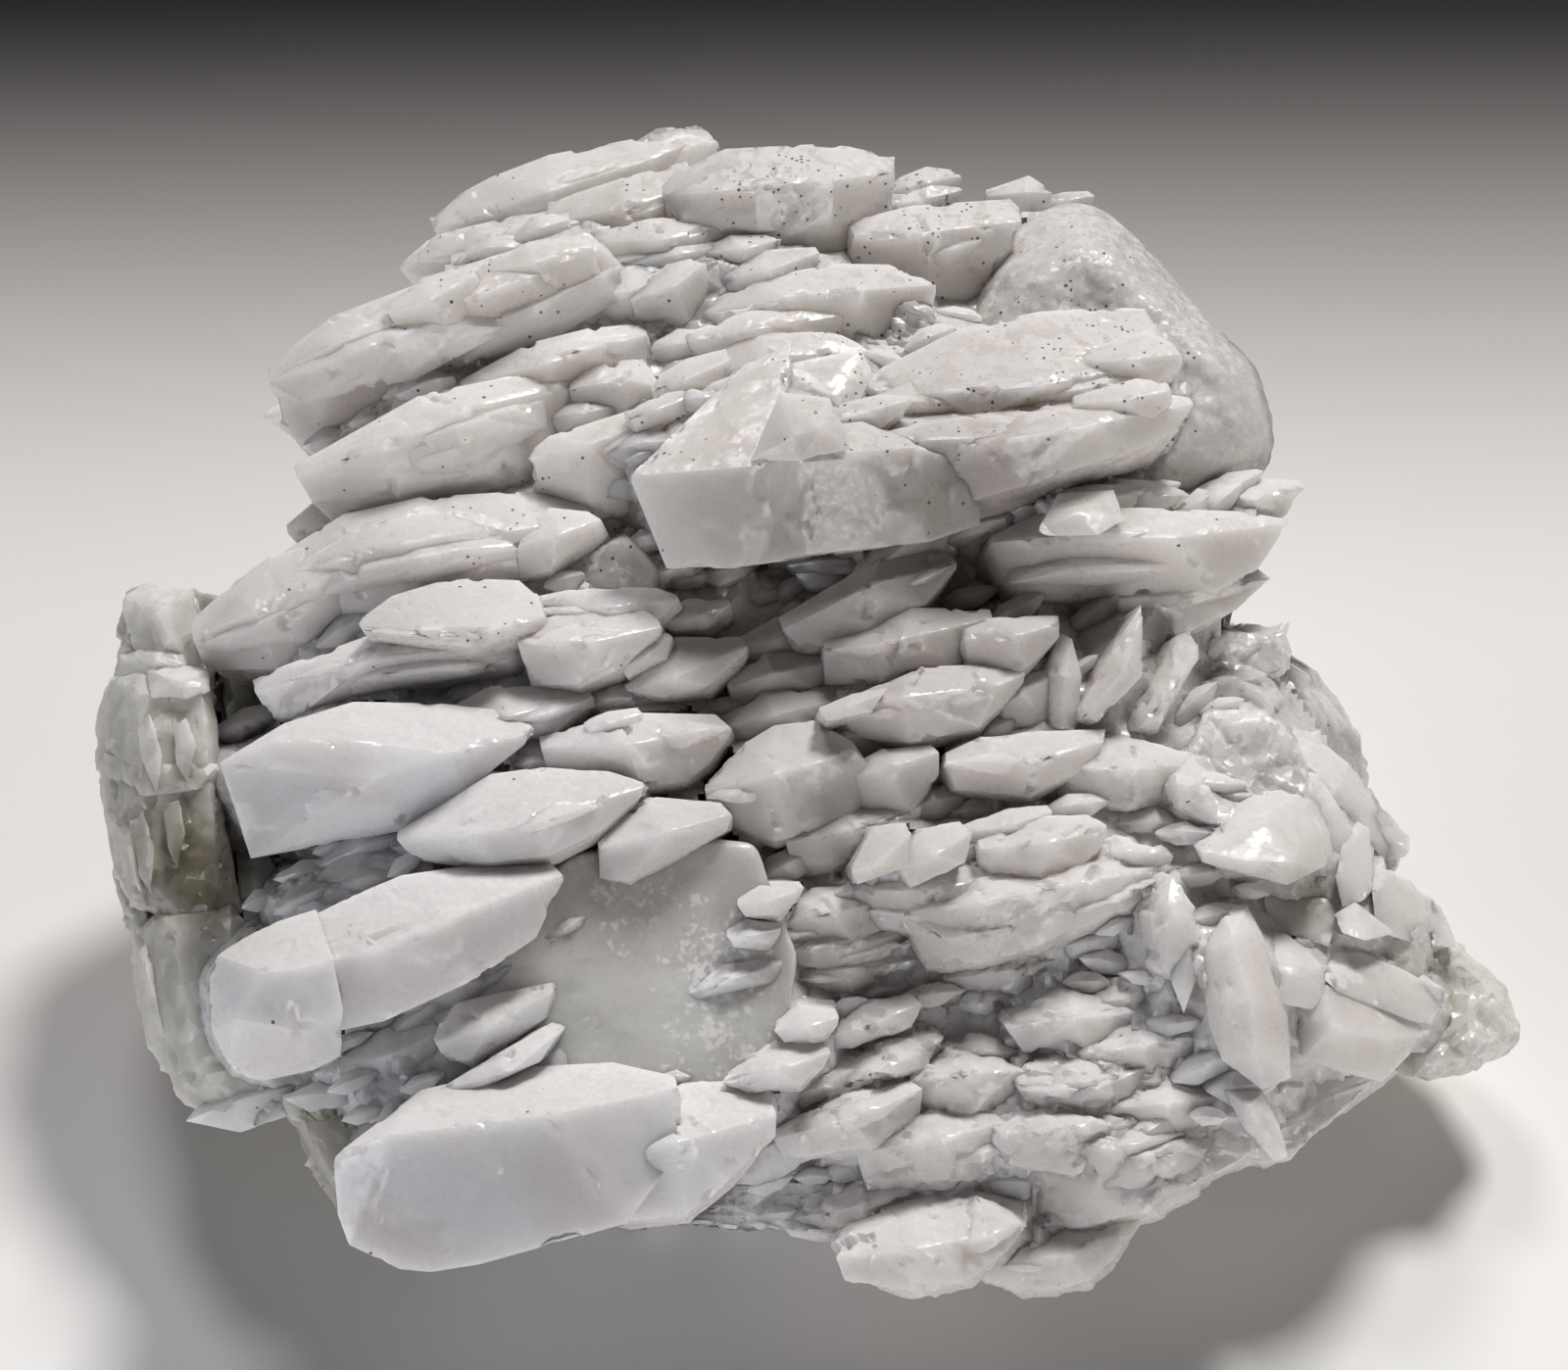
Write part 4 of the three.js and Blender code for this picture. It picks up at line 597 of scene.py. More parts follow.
# Blocks of the mass by piece: an outline in the drawing, with the levels of its front and back.
blockGroups = {
    "brokenMass": [
        {
            "outline": [
                [340, 640], [470, 400], [700, 250], [960, 240], [1160, 330], [1240, 540], [1280, 760],
                [1300, 960], [1240, 1120], [1100, 1200], [900, 1215], [640, 1205], [420, 1150], [320, 960],
            ],
            "front": 0, "back": -40, "widestAt": 0.3, "seed": 0,
        },
        {
            "outline": [
                [250, 900], [420, 820], [700, 860], [760, 1000], [700, 1180], [480, 1230], [330, 1150],
                [250, 1060],
            ],
            "front": 8, "back": -20, "frontShare": 0.8, "seed": 1,
        },
        {
            "outline": [
                [780, 900], [1000, 850], [1200, 900], [1230, 1080], [1130, 1200], [960, 1230], [800, 1180],
                [740, 1080],
            ],
            "front": 4, "back": -30, "frontShare": 0.85, "seed": 2,
        },
        {
            "outline": [[250, 620], [420, 540], [620, 520], [700, 640], [680, 800], [480, 860], [300, 840]],
            "front": 4, "back": -30, "frontShare": 0.8, "seed": 3,
        },
        {
            "outline": [
                [320, 440], [460, 320], [640, 250], [820, 220], [1000, 300], [1160, 400], [1060, 520],
                [700, 540], [420, 480],
            ],
            "front": 0, "back": -30, "frontShare": 0.8, "seed": 4,
        },
        {
            "outline": [[560, 1215], [700, 1190], [900, 1210], [900, 1270], [800, 1258], [640, 1252]],
            "front": 2, "back": -30, "frontShare": 0.85, "seed": 22,
        },
    ],
    "smoothPlates": [
        {
            "outline": [
                [470, 965], [585, 868], [700, 850], [770, 862], [815, 975], [800, 1100], [700, 1165],
                [480, 1130],
            ],
            "front": 8.4, "back": -20, "frontShare": 0.97, "widestAt": 0.03, "seed": 5,
        },
        {
            "outline": [[560, 606], [590, 560], [640, 536], [680, 580], [680, 610]],
            "front": 4, "back": -20, "seed": 6,
        },
    ],
    "frostedDome": [
        {
            "outline": [
                [1000, 250], [1060, 206], [1115, 198], [1160, 235], [1215, 300], [1290, 375], [1307, 440],
                [1303, 485], [1200, 560], [1050, 500], [940, 380],
            ],
            "front": 1, "back": -34, "frontShare": 0.66, "seed": 7,
        },
    ],
    "glassyRim": [
        {
            "outline": [
                [107, 700], [125, 605], [145, 595], [200, 600], [225, 660], [225, 740], [180, 780], [100, 770],
            ],
            "front": -2, "back": -22, "seed": 8,
        },
        {
            "outline": [
                [97, 785], [98, 760], [110, 740], [222, 720], [245, 800], [250, 900], [215, 990], [140, 1000],
                [118, 890],
            ],
            "front": -1, "back": -26, "seed": 9,
        },
        {
            "outline": [
                [133, 960], [230, 900], [262, 980], [285, 1138], [260, 1150], [220, 1148], [180, 1115],
                [147, 1050],
            ],
            "front": 0, "back": -22, "seed": 10,
        },
        {
            "outline": [[200, 640], [420, 560], [460, 760], [460, 960], [300, 1000], [225, 940], [220, 760]],
            "front": -4, "back": -34, "seed": 11,
        },
        {
            "outline": [[270, 1105], [360, 1100], [440, 1140], [420, 1210], [360, 1260], [310, 1180]],
            "front": 6, "back": -24, "seed": 12,
        },
    ],
    "rightBlocks": [
        {
            "outline": [[1238, 635], [1300, 642], [1315, 650], [1320, 690], [1290, 700], [1230, 690]],
            "front": -6, "back": -22, "frontShare": 0.85, "seed": 13,
        },
        {
            "outline": [[1215, 690], [1260, 676], [1314, 710], [1308, 748], [1250, 760], [1190, 740]],
            "front": 0, "back": -24, "frontShare": 0.8, "seed": 14,
        },
        {
            "outline": [
                [1205, 775], [1225, 726], [1290, 720], [1335, 780], [1340, 840], [1290, 880], [1230, 850],
            ],
            "front": 5, "back": -24, "frontShare": 0.92, "widestAt": 0.1, "seed": 15,
        },
        {
            "outline": [
                [1300, 760], [1350, 755], [1400, 812], [1432, 870], [1420, 900], [1340, 930], [1290, 880],
            ],
            "front": -6, "back": -30, "frontShare": 0.8, "seed": 16,
        },
        {
            "outline": [
                [1215, 1000], [1235, 935], [1265, 918], [1287, 932], [1312, 1030], [1316, 1110], [1306, 1188],
                [1270, 1184], [1236, 1110],
            ],
            "front": 7, "back": -16, "frontShare": 0.7, "seed": 17,
        },
        {
            "outline": [
                [1300, 960], [1350, 940], [1462, 935], [1472, 1010], [1455, 1068], [1395, 1104], [1330, 1082],
            ],
            "front": 2, "back": -26, "frontShare": 0.84, "seed": 18,
        },
        {
            "outline": [
                [1440, 965], [1490, 962], [1541, 1008], [1553, 1056], [1544, 1072], [1500, 1100], [1435, 1106],
            ],
            "front": -3, "back": -24, "frontShare": 0.75, "seed": 19,
        },
        {
            "outline": [
                [1280, 1060], [1400, 1070], [1436, 1090], [1400, 1115], [1345, 1155], [1310, 1190],
                [1250, 1196],
            ],
            "front": 3, "back": -20, "frontShare": 0.85, "seed": 20,
        },
        {
            "outline": [[1180, 1060], [1260, 1080], [1290, 1180], [1235, 1210], [1165, 1245], [1120, 1200]],
            "front": 6, "back": -22, "frontShare": 0.85, "seed": 21,
        },
    ],
}

# Boulders of the mass behind and below, in the piece's own axes.
boulders = [
    {"at": [0, 0, 8], "radii": [44, 28, 16], "rough": 0.08},
    {"at": [-26, -6, 12], "radii": [26, 20, 15], "turn": 20},
    {"at": [28, -6, 12], "radii": [26, 20, 14], "turn": -25},
    {"at": [-8, 20, 24], "radii": [34, 20, 22], "turn": 8},
    {"at": [16, 22, 26], "radii": [24, 19, 22], "turn": -20},
    {"at": [-27, 10, 15], "radii": [18, 18, 16], "turn": 35},
    {"at": [6, 34, 14], "radii": [28, 12, 15], "turn": -6},
    {"at": [34, 8, 11], "radii": [18, 16, 12], "turn": 15},
]


# Large crystals and plates with flat faces, by piece: corners as x, y and level on the drawing.
flatFaced = {
    "centreFlat": [
        [
            (642, 486, 13), (680, 580, 9.5), (746, 580, 10), (800, 572, 10), (764, 476, 15.5), (790, 470, 15.4),
            (700, 430, 11), (760, 372, 9), (808, 350, 8.9), (786, 440, 13), (690, 560, 0), (790, 540, 0),
            (790, 380, 2), (700, 440, 2),
        ],
        [
            (746, 580, 9.8), (824, 566, 10.5), (880, 550, 10), (948, 553, 8), (1000, 535, 6), (764, 476, 15.4),
            (816, 466, 15.6), (864, 462, 14.8), (940, 456, 12.8), (780, 440, 13.2), (880, 430, 11.5), (1000, 480, 9),
            (760, 560, 0), (960, 520, 0), (900, 440, 2), (780, 440, 4),
        ],
        [
            (800, 402, 9.5), (800, 372, 8.6), (878, 356, 7.5), (892, 382, 8), (866, 428, 10.5), (850, 408, 10.5),
            (838, 395, 10), (850, 400, 0), (830, 380, 0),
        ],
        [
            (766, 470, 15.8), (816, 470, 18), (868, 458, 16.6), (786, 424, 15.6), (796, 400, 14.6), (846, 406, 15),
            (858, 430, 16.8), (838, 436, 19.8), (810, 444, 19.2), (800, 440, 8), (850, 440, 8), (770, 465, 12),
        ],
        [
            (1058, 542, 9.6), (1072, 522, 8.2), (1080, 504, 7.2), (1136, 500, 7.4), (1148, 530, 9), (1120, 546, 10.4),
            (1062, 547, 9.8), (1100, 524, 10.2), (1090, 530, 2), (1130, 520, 2),
        ],
    ],
    "leftFlat": [
        [
            (224, 778, 13.2), (274, 756, 13.6), (314, 754, 13.5), (370, 758, 13.8), (378, 796, 14.2),
            (342, 850, 10.5), (256, 876, 9.5), (236, 804, 12.5), (290, 738, 11), (360, 716, 9.5), (450, 718, 8.5),
            (540, 728, 7.5), (551, 747, 8.5), (460, 768, 13), (420, 846, 8), (402, 840, 10), (470, 812, 9.5),
            (260, 860, 2), (340, 840, 0), (370, 730, 2), (250, 770, 4), (500, 760, 0),
        ],
        [
            (214, 1000, 14), (216, 1052, 12.5), (238, 1096, 10.5), (268, 1103, 10.5), (320, 1092, 11.5),
            (348, 1078, 12), (222, 975, 14.5), (246, 958, 13.5), (284, 940, 12.5), (322, 928, 12.5), (270, 992, 18),
            (300, 990, 18.3), (340, 980, 17.9), (240, 1040, 16.5), (300, 1050, 16.5), (350, 1034, 16.2),
            (240, 1060, 0), (340, 1060, 0), (340, 950, 0), (250, 980, 0),
        ],
        [
            (318, 985, 16.5), (345, 1052, 13), (380, 972, 17.4), (460, 938, 17), (540, 906, 14.5), (574, 893, 13),
            (320, 934, 13), (360, 914, 12.6), (410, 893, 12), (500, 880, 10.5), (560, 878, 10), (392, 1042, 13),
            (482, 1001, 13), (547, 957, 12), (575, 898, 12.5), (480, 960, 0), (420, 900, 2), (350, 1000, 0),
        ],
        [
            (340, 1180, 12.5), (345, 1240, 11), (356, 1270, 10.5), (408, 1295, 10.3), (440, 1298, 10.6),
            (490, 1290, 11), (580, 1265, 12), (640, 1248, 13), (700, 1165, 13.5), (398, 1158, 15.2),
            (560, 1138, 16.2), (692, 1110, 14), (430, 1112, 10.5), (530, 1089, 9.5), (625, 1084, 9.5),
            (688, 1098, 10.5), (400, 1250, 0), (600, 1230, 0), (640, 1110, 0), (400, 1160, 0),
        ],
    ],
    "rightPlates": [
        [
            (1218, 863, 8.5), (1240, 847, 7.5), (1257, 827, 6.5), (1287, 803, 5.5), (1313, 803, 5.5),
            (1340, 817, 5.5), (1357, 850, 6.5), (1358, 866, 7), (1352, 884, 8), (1313, 903, 8.5), (1267, 892, 9),
            (1227, 880, 9), (1225, 868, 10), (1270, 878, 11), (1320, 880, 10.5), (1290, 840, 9.5), (1250, 880, 0),
            (1330, 880, 0),
        ],
        [
            (1317, 737, -4), (1340, 750, -3), (1377, 780, -2), (1397, 817, -1), (1433, 860, -3), (1433, 870, -3),
            (1420, 887, -3), (1393, 855, 1), (1360, 810, 2), (1330, 780, 1), (1310, 760, -1), (1340, 780, -14),
            (1400, 860, -14),
        ],
        [
            (1325, 785, 2), (1345, 790, 2), (1368, 825, 3), (1380, 848, 3), (1374, 880, 3), (1360, 885, 4),
            (1340, 850, 5), (1325, 815, 4), (1340, 840, -10), (1370, 870, -10),
        ],
        [
            (1385, 838, 2), (1397, 845, 2), (1402, 905, 4), (1395, 918, 5), (1370, 926, 5), (1362, 895, 5),
            (1370, 862, 4), (1380, 920, -8), (1390, 850, -8),
        ],
        [
            (1402, 885, 1), (1420, 888, 0), (1440, 905, -1), (1460, 918, -2), (1462, 950, 0), (1440, 962, 2),
            (1405, 950, 4), (1400, 915, 4), (1410, 930, -10), (1450, 930, -10),
        ],
        [
            (1460, 918, -3), (1470, 925, -4), (1484, 955, -3), (1488, 968, -2), (1465, 965, 0), (1458, 940, 0),
            (1470, 950, -12),
        ],
        [
            (1360, 933, 5), (1383, 920, 5), (1402, 935, 5), (1424, 952, 4), (1393, 960, 7), (1370, 952, 7),
            (1385, 940, -2),
        ],
        [
            (1355, 972, 5), (1390, 972, 4), (1433, 990, 3), (1478, 1015, 1), (1462, 1045, 3), (1440, 1042, 5),
            (1365, 1012, 8), (1352, 1000, 8), (1400, 1000, -8), (1450, 1030, -8),
        ],
        [
            (1290, 947, 6), (1313, 953, 6), (1335, 970, 6.5), (1353, 990, 7), (1353, 1010, 8), (1340, 1031, 9),
            (1307, 1024, 10), (1296, 985, 9), (1320, 990, 9.5), (1320, 1000, -6),
        ],
        [
            (1317, 1030, 8), (1353, 1005, 8), (1400, 1022, 6), (1460, 1052, 3), (1448, 1066, 3.5), (1411, 1104, 4),
            (1368, 1094, 5.5), (1328, 1078, 7), (1360, 1050, 9.5), (1420, 1060, 7), (1380, 1060, -8),
        ],
        [
            (1247, 927, 8), (1272, 923, 8), (1288, 953, 9), (1302, 997, 10), (1314, 1037, 9.5), (1317, 1100, 8.5),
            (1288, 1112, 9.5), (1247, 1082, 9.5), (1232, 1040, 10), (1226, 973, 9.5), (1258, 960, 12.5),
            (1275, 1020, 14), (1280, 1070, 13), (1250, 1030, 13.2), (1240, 1040, -4), (1300, 1060, -4),
        ],
        [
            (1248, 1112, 8.5), (1290, 1112, 8.5), (1307, 1150, 8), (1314, 1180, 7), (1300, 1186, 7), (1272, 1156, 8),
            (1275, 1130, 10.5), (1280, 1140, -6),
        ],
        [
            (1186, 893, 7), (1203, 897, 6.5), (1217, 920, 6.5), (1218, 955, 7), (1209, 966, 9), (1196, 930, 9.5),
            (1188, 905, 9), (1205, 940, 0),
        ],
        [
            (1178, 910, 8), (1188, 896, 8.5), (1192, 930, 10.5), (1210, 966, 10.5), (1222, 962, 9), (1220, 1000, 9.5),
            (1208, 1034, 9.5), (1196, 1004, 10), (1182, 945, 9.5), (1205, 990, -2),
        ],
    ],
    "rimColumns": [
        [
            (124, 612, -2), (146, 595, -3), (196, 598, -2), (206, 640, -1), (196, 676, 0), (150, 680, 0),
            (128, 650, -1), (160, 625, 2), (175, 655, 2.5), (160, 640, -14),
        ],
        [
            (122, 668, -1), (150, 655, 0), (200, 655, 0), (205, 690, 1), (150, 700, 1), (120, 690, -1), (160, 672, 3),
            (160, 680, -12),
        ],
        [
            (106, 700, -2), (112, 690, -1), (149, 682, 1), (213, 684, 1), (228, 800, 1.5), (246, 930, 1.5),
            (200, 962, 1.5), (140, 928, 0), (118, 895, -2), (97, 782, -3), (98, 740, -3), (140, 710, 3),
            (205, 705, 3.2), (222, 900, 3.4), (150, 890, 2.4), (160, 800, -20),
        ],
        [
            (100, 765, -3), (97, 786, -3), (150, 812, 3.4), (200, 806, 3.8), (226, 800, 2.4), (222, 780, 3.4),
            (150, 780, 3.2), (110, 770, -1), (160, 790, -6),
        ],
        [
            (138, 730, 2.6), (152, 724, 3.4), (166, 770, 4.2), (160, 810, 3.6), (146, 780, 3.4), (150, 770, -4),
        ],
        [
            (176, 740, 3.2), (190, 732, 3.8), (200, 760, 4.4), (192, 800, 3.8), (180, 780, 4.2), (188, 770, -4),
        ],
        [
            (132, 838, 1.6), (146, 826, 3), (158, 860, 3.8), (154, 916, 2.6), (140, 890, 2.4), (146, 870, -4),
        ],
        [
            (166, 822, 3), (182, 818, 3.6), (190, 850, 4.1), (180, 890, 3.4), (170, 860, 3.8), (178, 850, -4),
        ],
        [
            (149, 684, 2), (165, 676, 1.5), (213, 682, 2), (215, 705, 3), (190, 714, 4.2), (155, 712, 3.6),
            (180, 695, 4.6), (180, 700, -4),
        ],
        [
            (110, 830, -2), (122, 818, -1.5), (140, 826, 0.5), (152, 880, 1), (150, 928, 1), (132, 926, 0),
            (116, 880, -2), (130, 860, 2.4), (138, 900, 2.4), (135, 880, -10),
        ],
        [
            (146, 945, 0), (160, 930, 1), (236, 900, 1.5), (262, 980, 2), (284, 1090, 3), (285, 1138, 3),
            (262, 1150, 2), (222, 1150, 1), (180, 1118, 0), (156, 1040, 0), (150, 985, 0), (180, 960, 3.6),
            (235, 960, 4), (250, 1080, 4.6), (200, 1090, 3.4), (210, 1030, -20),
        ],
        [
            (130, 925, -2), (146, 918, -1), (158, 960, 0), (168, 1060, 0.5), (182, 1112, 0), (150, 1070, -2),
            (138, 1000, -2), (150, 990, 1.4), (150, 1000, -12),
        ],
        [
            (240, 866, -1), (262, 858, -1), (290, 900, -1), (288, 945, 0), (262, 962, 1), (245, 930, 1),
            (262, 905, 1.5), (262, 910, -12),
        ],
    ],
    "lowerMasses": [
        [
            (1290, 885, 3), (1330, 880, 3), (1362, 895, 3), (1366, 930, 4), (1355, 965, 5), (1320, 955, 5.5),
            (1292, 945, 5), (1300, 915, 4), (1330, 920, -8),
        ],
    ],
}


# How finely flat faces are divided and how strong their relief is, in millimetres.
flatLook = {
    "step": 0.75,  # longest edge of a face
    "coarse": 1.4,  # times that on small crystals
    "small": 12.0,  # a crystal shorter than this is small
    "wave": 0.1,
    "waveSize": 4.0,
    "facet": 0.15,
    "facetSize": 4.0,
    "chip": 1.7,  # depth of the chips
    "chipSize": 1.8,
    "chipReach": 0.45,  # how far from an edge they reach
    "sharp": 14.0,  # degrees from which an edge is chipped
    "wholeAt": 14.0,  # the length from which the relief is full
    "edgeFade": 1.2,  # over which waves and facets fade out towards an edge
    "edgeGlowReach": 1.7,  # over which an edge gets a painted glow, as of light passing through thin calcite
    "broken": ((3.0, 0.34), (1.1, 0.12)),  # size and height of broken facets
}


# A crystal with flat faces: the tightest solid around its corners, with its edges halved until all are short. Its
# faces are uneven by a soft wave and by shallow tilted planes, both fading out towards the edges, and noise near the
# edges chips them. Where it is rough, broken facets are added.
def flatCrystal(name, corners, seed, rough):
    look = flatLook
    spots = np.array(corners, float)
    form = bmesh.new()
    for place in onFace(spots[:, :2], spots[:, 2]):
        form.verts.new(place)
    bmesh.ops.convex_hull(form, input=form.verts)
    bmesh.ops.delete(form, geom=[v for v in form.verts if not v.link_faces], context="VERTS")
    bmesh.ops.recalc_face_normals(form, faces=form.faces)
    sharp = [e for e in form.edges if e.calc_face_angle(0) > np.radians(look["sharp"])]
    starts = np.array([e.verts[0].co for e in sharp])
    runs = np.array([e.verts[1].co for e in sharp]) - starts
    extent = np.ptp(spots[:, :2], axis=0).max() / perMm
    step = look["step"] * (1.0 if extent > look["small"] else look["coarse"])
    for _ in range(9):
        long = [e for e in form.edges if e.calc_length() > step]
        if not long:
            break
        bmesh.ops.subdivide_edges(form, edges=long, cuts=1)
        bmesh.ops.triangulate(form, faces=form.faces, quad_method="SHORT_EDGE", ngon_method="BEAUTY")
    mesh = bpy.data.meshes.new(name)
    form.to_mesh(mesh)
    form.free()
    places = vertexPlaces(mesh) / 1000
    normals = vertexNormals(mesh)
    share = np.einsum("ijk,jk->ij", places[:, None] - starts[None], runs) / (runs * runs).sum(1)
    foot = starts[None] + np.clip(share, 0, 1)[..., None] * runs[None]
    fromEdge = np.linalg.norm(places[:, None] - foot, axis=-1).min(1)
    within = np.clip(fromEdge / look["edgeFade"], 0, 1)
    lift = look["wave"] * roughNoise(places, look["waveSize"], 2, seed) * within
    lift = lift + look["facet"] * facetNoise(places, look["facetSize"], seed + 1) * within
    chips = np.clip(roughNoise(places, look["chipSize"], 3, seed + 2) - 0.2, 0, 1)
    chips = chips * np.clip(1.2 - fromEdge / look["chipReach"], 0, 1)
    lift = (lift - look["chip"] * chips) * np.clip(extent / look["wholeAt"], 0.3, 1)
    breaks = enumerate(look["broken"])
    lift = lift + rough * sum(height * facetNoise(places, size, seed + 3 + k) for k, (size, height) in breaks)
    mesh.vertices.foreach_set("co", ((places + normals * lift[:, None]) / 1000).ravel())
    mesh.update()
    upper = np.clip(normals @ upView * 3.0 - 1.2, 0, 1)
    # thin: where the edges get a painted glow, as of light passing through thin calcite
    thin = np.exp(-fromEdge / look["edgeGlowReach"])
    keepValues(mesh, {"upper": upper, "thin": thin, "tint": np.full(len(places), wobble(seed, 77))})
    return mesh


# A box that holds everything under the resting level.
def underground(name):
    reach, deep = 0.3, 0.1
    around = ((-reach, -reach), (reach, -reach), (reach, reach), (-reach, reach))
    box = [(x, y, z) for z in (-deep, 0.0) for x, y in around]
    sides = [(3, 2, 1, 0), (4, 5, 6, 7), (0, 1, 5, 4), (1, 2, 6, 5), (2, 3, 7, 6), (3, 0, 4, 7)]
    mesh = bpy.data.meshes.new(name)
    mesh.from_pydata(box, [], sides)
    return putInScene(name, mesh)


# A piece: its surfaces are joined into one solid, and whatever reaches under the resting level is cut off flat.
def joinSurfaces(name, surfaces):
    parts = bpy.data.collections.new(name + "Parts")
    bpy.context.scene.collection.children.link(parts)
    meshes = [
        surface if isinstance(surface, bpy.types.Mesh) else meshFromRings(f"{name}Part{k}", *surface)
        for k, surface in enumerate(surfaces)
    ]
    lowest = min(vertexPlaces(mesh)[:, 2].min() for mesh in meshes)
    base = putInScene(meshes[0].name, meshes[0])
    for mesh in meshes[1:]:
        parts.objects.link(bpy.data.objects.new(mesh.name, mesh))
    done = [base, *parts.objects]
    if len(meshes) > 1:
        join = base.modifiers.new("join", "BOOLEAN")
        join.operation, join.solver, join.operand_type, join.collection = "UNION", "MANIFOLD", "COLLECTION", parts
    if lowest < 0:
        cut = base.modifiers.new("cut", "BOOLEAN")
        cut.operation, cut.solver, cut.object = "DIFFERENCE", "MANIFOLD", underground(name + "Ground")
        done.append(cut.object)
    graph = bpy.context.evaluated_depsgraph_get()
    mesh = bpy.data.meshes.new_from_object(base.evaluated_get(graph), depsgraph=graph)
    mesh.name = name
    for thing in done:
        old = thing.data
        bpy.data.objects.remove(thing)
        bpy.data.meshes.remove(old)
    bpy.data.collections.remove(parts)
    print("made", name, "of", len(surfaces), "surfaces:", shadeSmooth(mesh, 27), "triangles")
    return putInScene(name, mesh)


# The corners of a crystal whose top edge, rim and low edge are drawn: the rim stands furthest out and curves back
# towards both tips, the other two fall back with their height from it, and the roots lie inside the mass.
def crystalCorners(crystal):
    lines = [np.array(crystal[key], float).reshape(-1, 2) for key in ("top", "rim", "low")]
    everyPoint = np.concatenate(lines)
    middle = (everyPoint.min(0) + everyPoint.max(0)) / 2
    heading = lines[1][-1] - lines[1][0]
    heading /= np.linalg.norm(heading)
    rising = np.array([heading[1], -heading[0]])
    if (lines[0].mean(0) - lines[1].mean(0)) @ rising < 0:
        rising = -rising
    along = [(line - middle) @ heading / perMm for line in lines]
    height = [(line - middle) @ rising / perMm for line in lines]
    length = np.ptp(np.concatenate(along))
    order = np.argsort(along[1])
    corners = []
    for line, a, h, setback in zip(lines, along, height, (face["upperSetback"], 0.0, face["lowerSetback"])):
        fromRim = np.abs(h - np.interp(a, along[1][order], height[1][order]))
        swell = face["bulge"] * length * np.clip(2 * a / length, -1, 1) ** 2
        level = crystal["out"] - swell - setback * fromRim
        corners.append(np.column_stack([line, level]))
    deep = min(face["rootLevel"], crystal["out"] - 0.6 * length)
    inward = face["convergence"] * (massMiddle - middle) + np.array([0, face["rootDrop"] * perMm])
    if "shallow" in crystal:
        deep = crystal["out"] - crystal["shallow"]
        inward = inward * 0.2
    else:
        corners.append(corners[2][1:-1] - np.array([*(face["skirt"] * rising), face["skirtDrop"]]))
    for line in (lines[0], lines[2]):
        root = middle + (line[[0, len(line) // 2, -1]] - middle) * face["rootShare"] + inward
        corners.append(np.column_stack([root, np.full(3, float(deep))]))
    return np.concatenate(corners), float(np.clip(gathered(*middle, brokenAreas), 0, 1))


pieces = {}
seed = 0
for name, crystals in crystalRows.items():
    surfaces = []
    for out, *lines in crystals:
        crystal = {"out": out, **dict(zip(("top", "rim", "low"), lines))}
        corners, broken = crystalCorners(crystal)
        surfaces.append(flatCrystal(f"{name}{seed}", corners, float(seed), broken))
        for k, layer in enumerate(growthLayers(crystal, float(seed))):
            corners, broken = crystalCorners(layer)
            surfaces.append(flatCrystal(f"{name}{seed}x{k}", corners, 1000.0 + 10 * seed + k, broken))
        seed += 1
    pieces[name] = joinSurfaces(name, surfaces)
roughFaced = {"rimColumns": 0.5, "lowerMasses": 0.6}  # pieces with broken facets on their flat faces
for name, solids in flatFaced.items():
    rough = roughFaced.get(name, 0.0)
    surfaces = [flatCrystal(f"{name}{k}", corners, 40.0 * len(name) + k, rough) for k, corners in enumerate(solids)]
    pieces[name] = joinSurfaces(name, surfaces)

# How each group of blocks is broken: how worn its corners are, and the size and depth of its broken facets.
breakLook = {
    "brokenMass": {"worn": 1, "breakSize": 4.0, "breakDepth": 0.6, "grain": 0.12},
    "smoothPlates": {"worn": 2, "breakSize": 9.0, "breakDepth": 0.1, "grain": 0.05},
    "frostedDome": {"worn": 14, "breakSize": 6.0, "breakDepth": 0.1, "grain": 0.12},
    "glassyRim": {"worn": 2, "breakSize": 4.6, "breakDepth": 0.6, "grain": 0.08},
    "rightBlocks": {"worn": 2, "breakSize": 4.2, "breakDepth": 0.5, "grain": 0.1},
}
for name, blocks in blockGroups.items():
    surfaces = [blockSurface({**block, **breakLook[name]}, 500.0 + block["seed"]) for block in blocks]
    if name == "brokenMass":
        surfaces += [boulderSurface(boulder, 700.0 + k) for k, boulder in enumerate(boulders)]
    pieces[name] = joinSurfaces(name, surfaces)

# The drawing is read in cells: their size in its points, their number, and the level of an empty one.
cellSize, cellRows, cellColumns, emptyLevel = 10.0, 150, 170, -60.0


# The row and column of the cell that holds a place of the drawing.
def cellOf(x, y):
    row, column = np.clip(y / cellSize, 0, cellRows - 1), np.clip(x / cellSize, 0, cellColumns - 1)
    return row.astype(int), column.astype(int)


# In each cell, the level of the frontmost vertex of some pieces.
def frontLevels(names):
    cells = np.full((cellRows, cellColumns), emptyLevel)
    for name in names:
        x, y, level = ontoDrawing(vertexPlaces(pieces[name].data))
        np.maximum.at(cells, cellOf(x, y), level)
    return cells


# Levels blurred over the cells that hold something, each time as the mean of three in both directions, and the share
# of such cells around.
def blurred(cells, times):
    filled = (cells > emptyLevel + 10) * 1.0
    around = np.where(cells > emptyLevel + 10, cells, 0.0)
    for _ in range(times):
        for axis in (0, 1):
            around = (np.roll(around, 1, axis) + around + np.roll(around, -1, axis)) / 3
            filled = (np.roll(filled, 1, axis) + filled + np.roll(filled, -1, axis)) / 3
    return around / np.maximum(filled, 0.05), filled


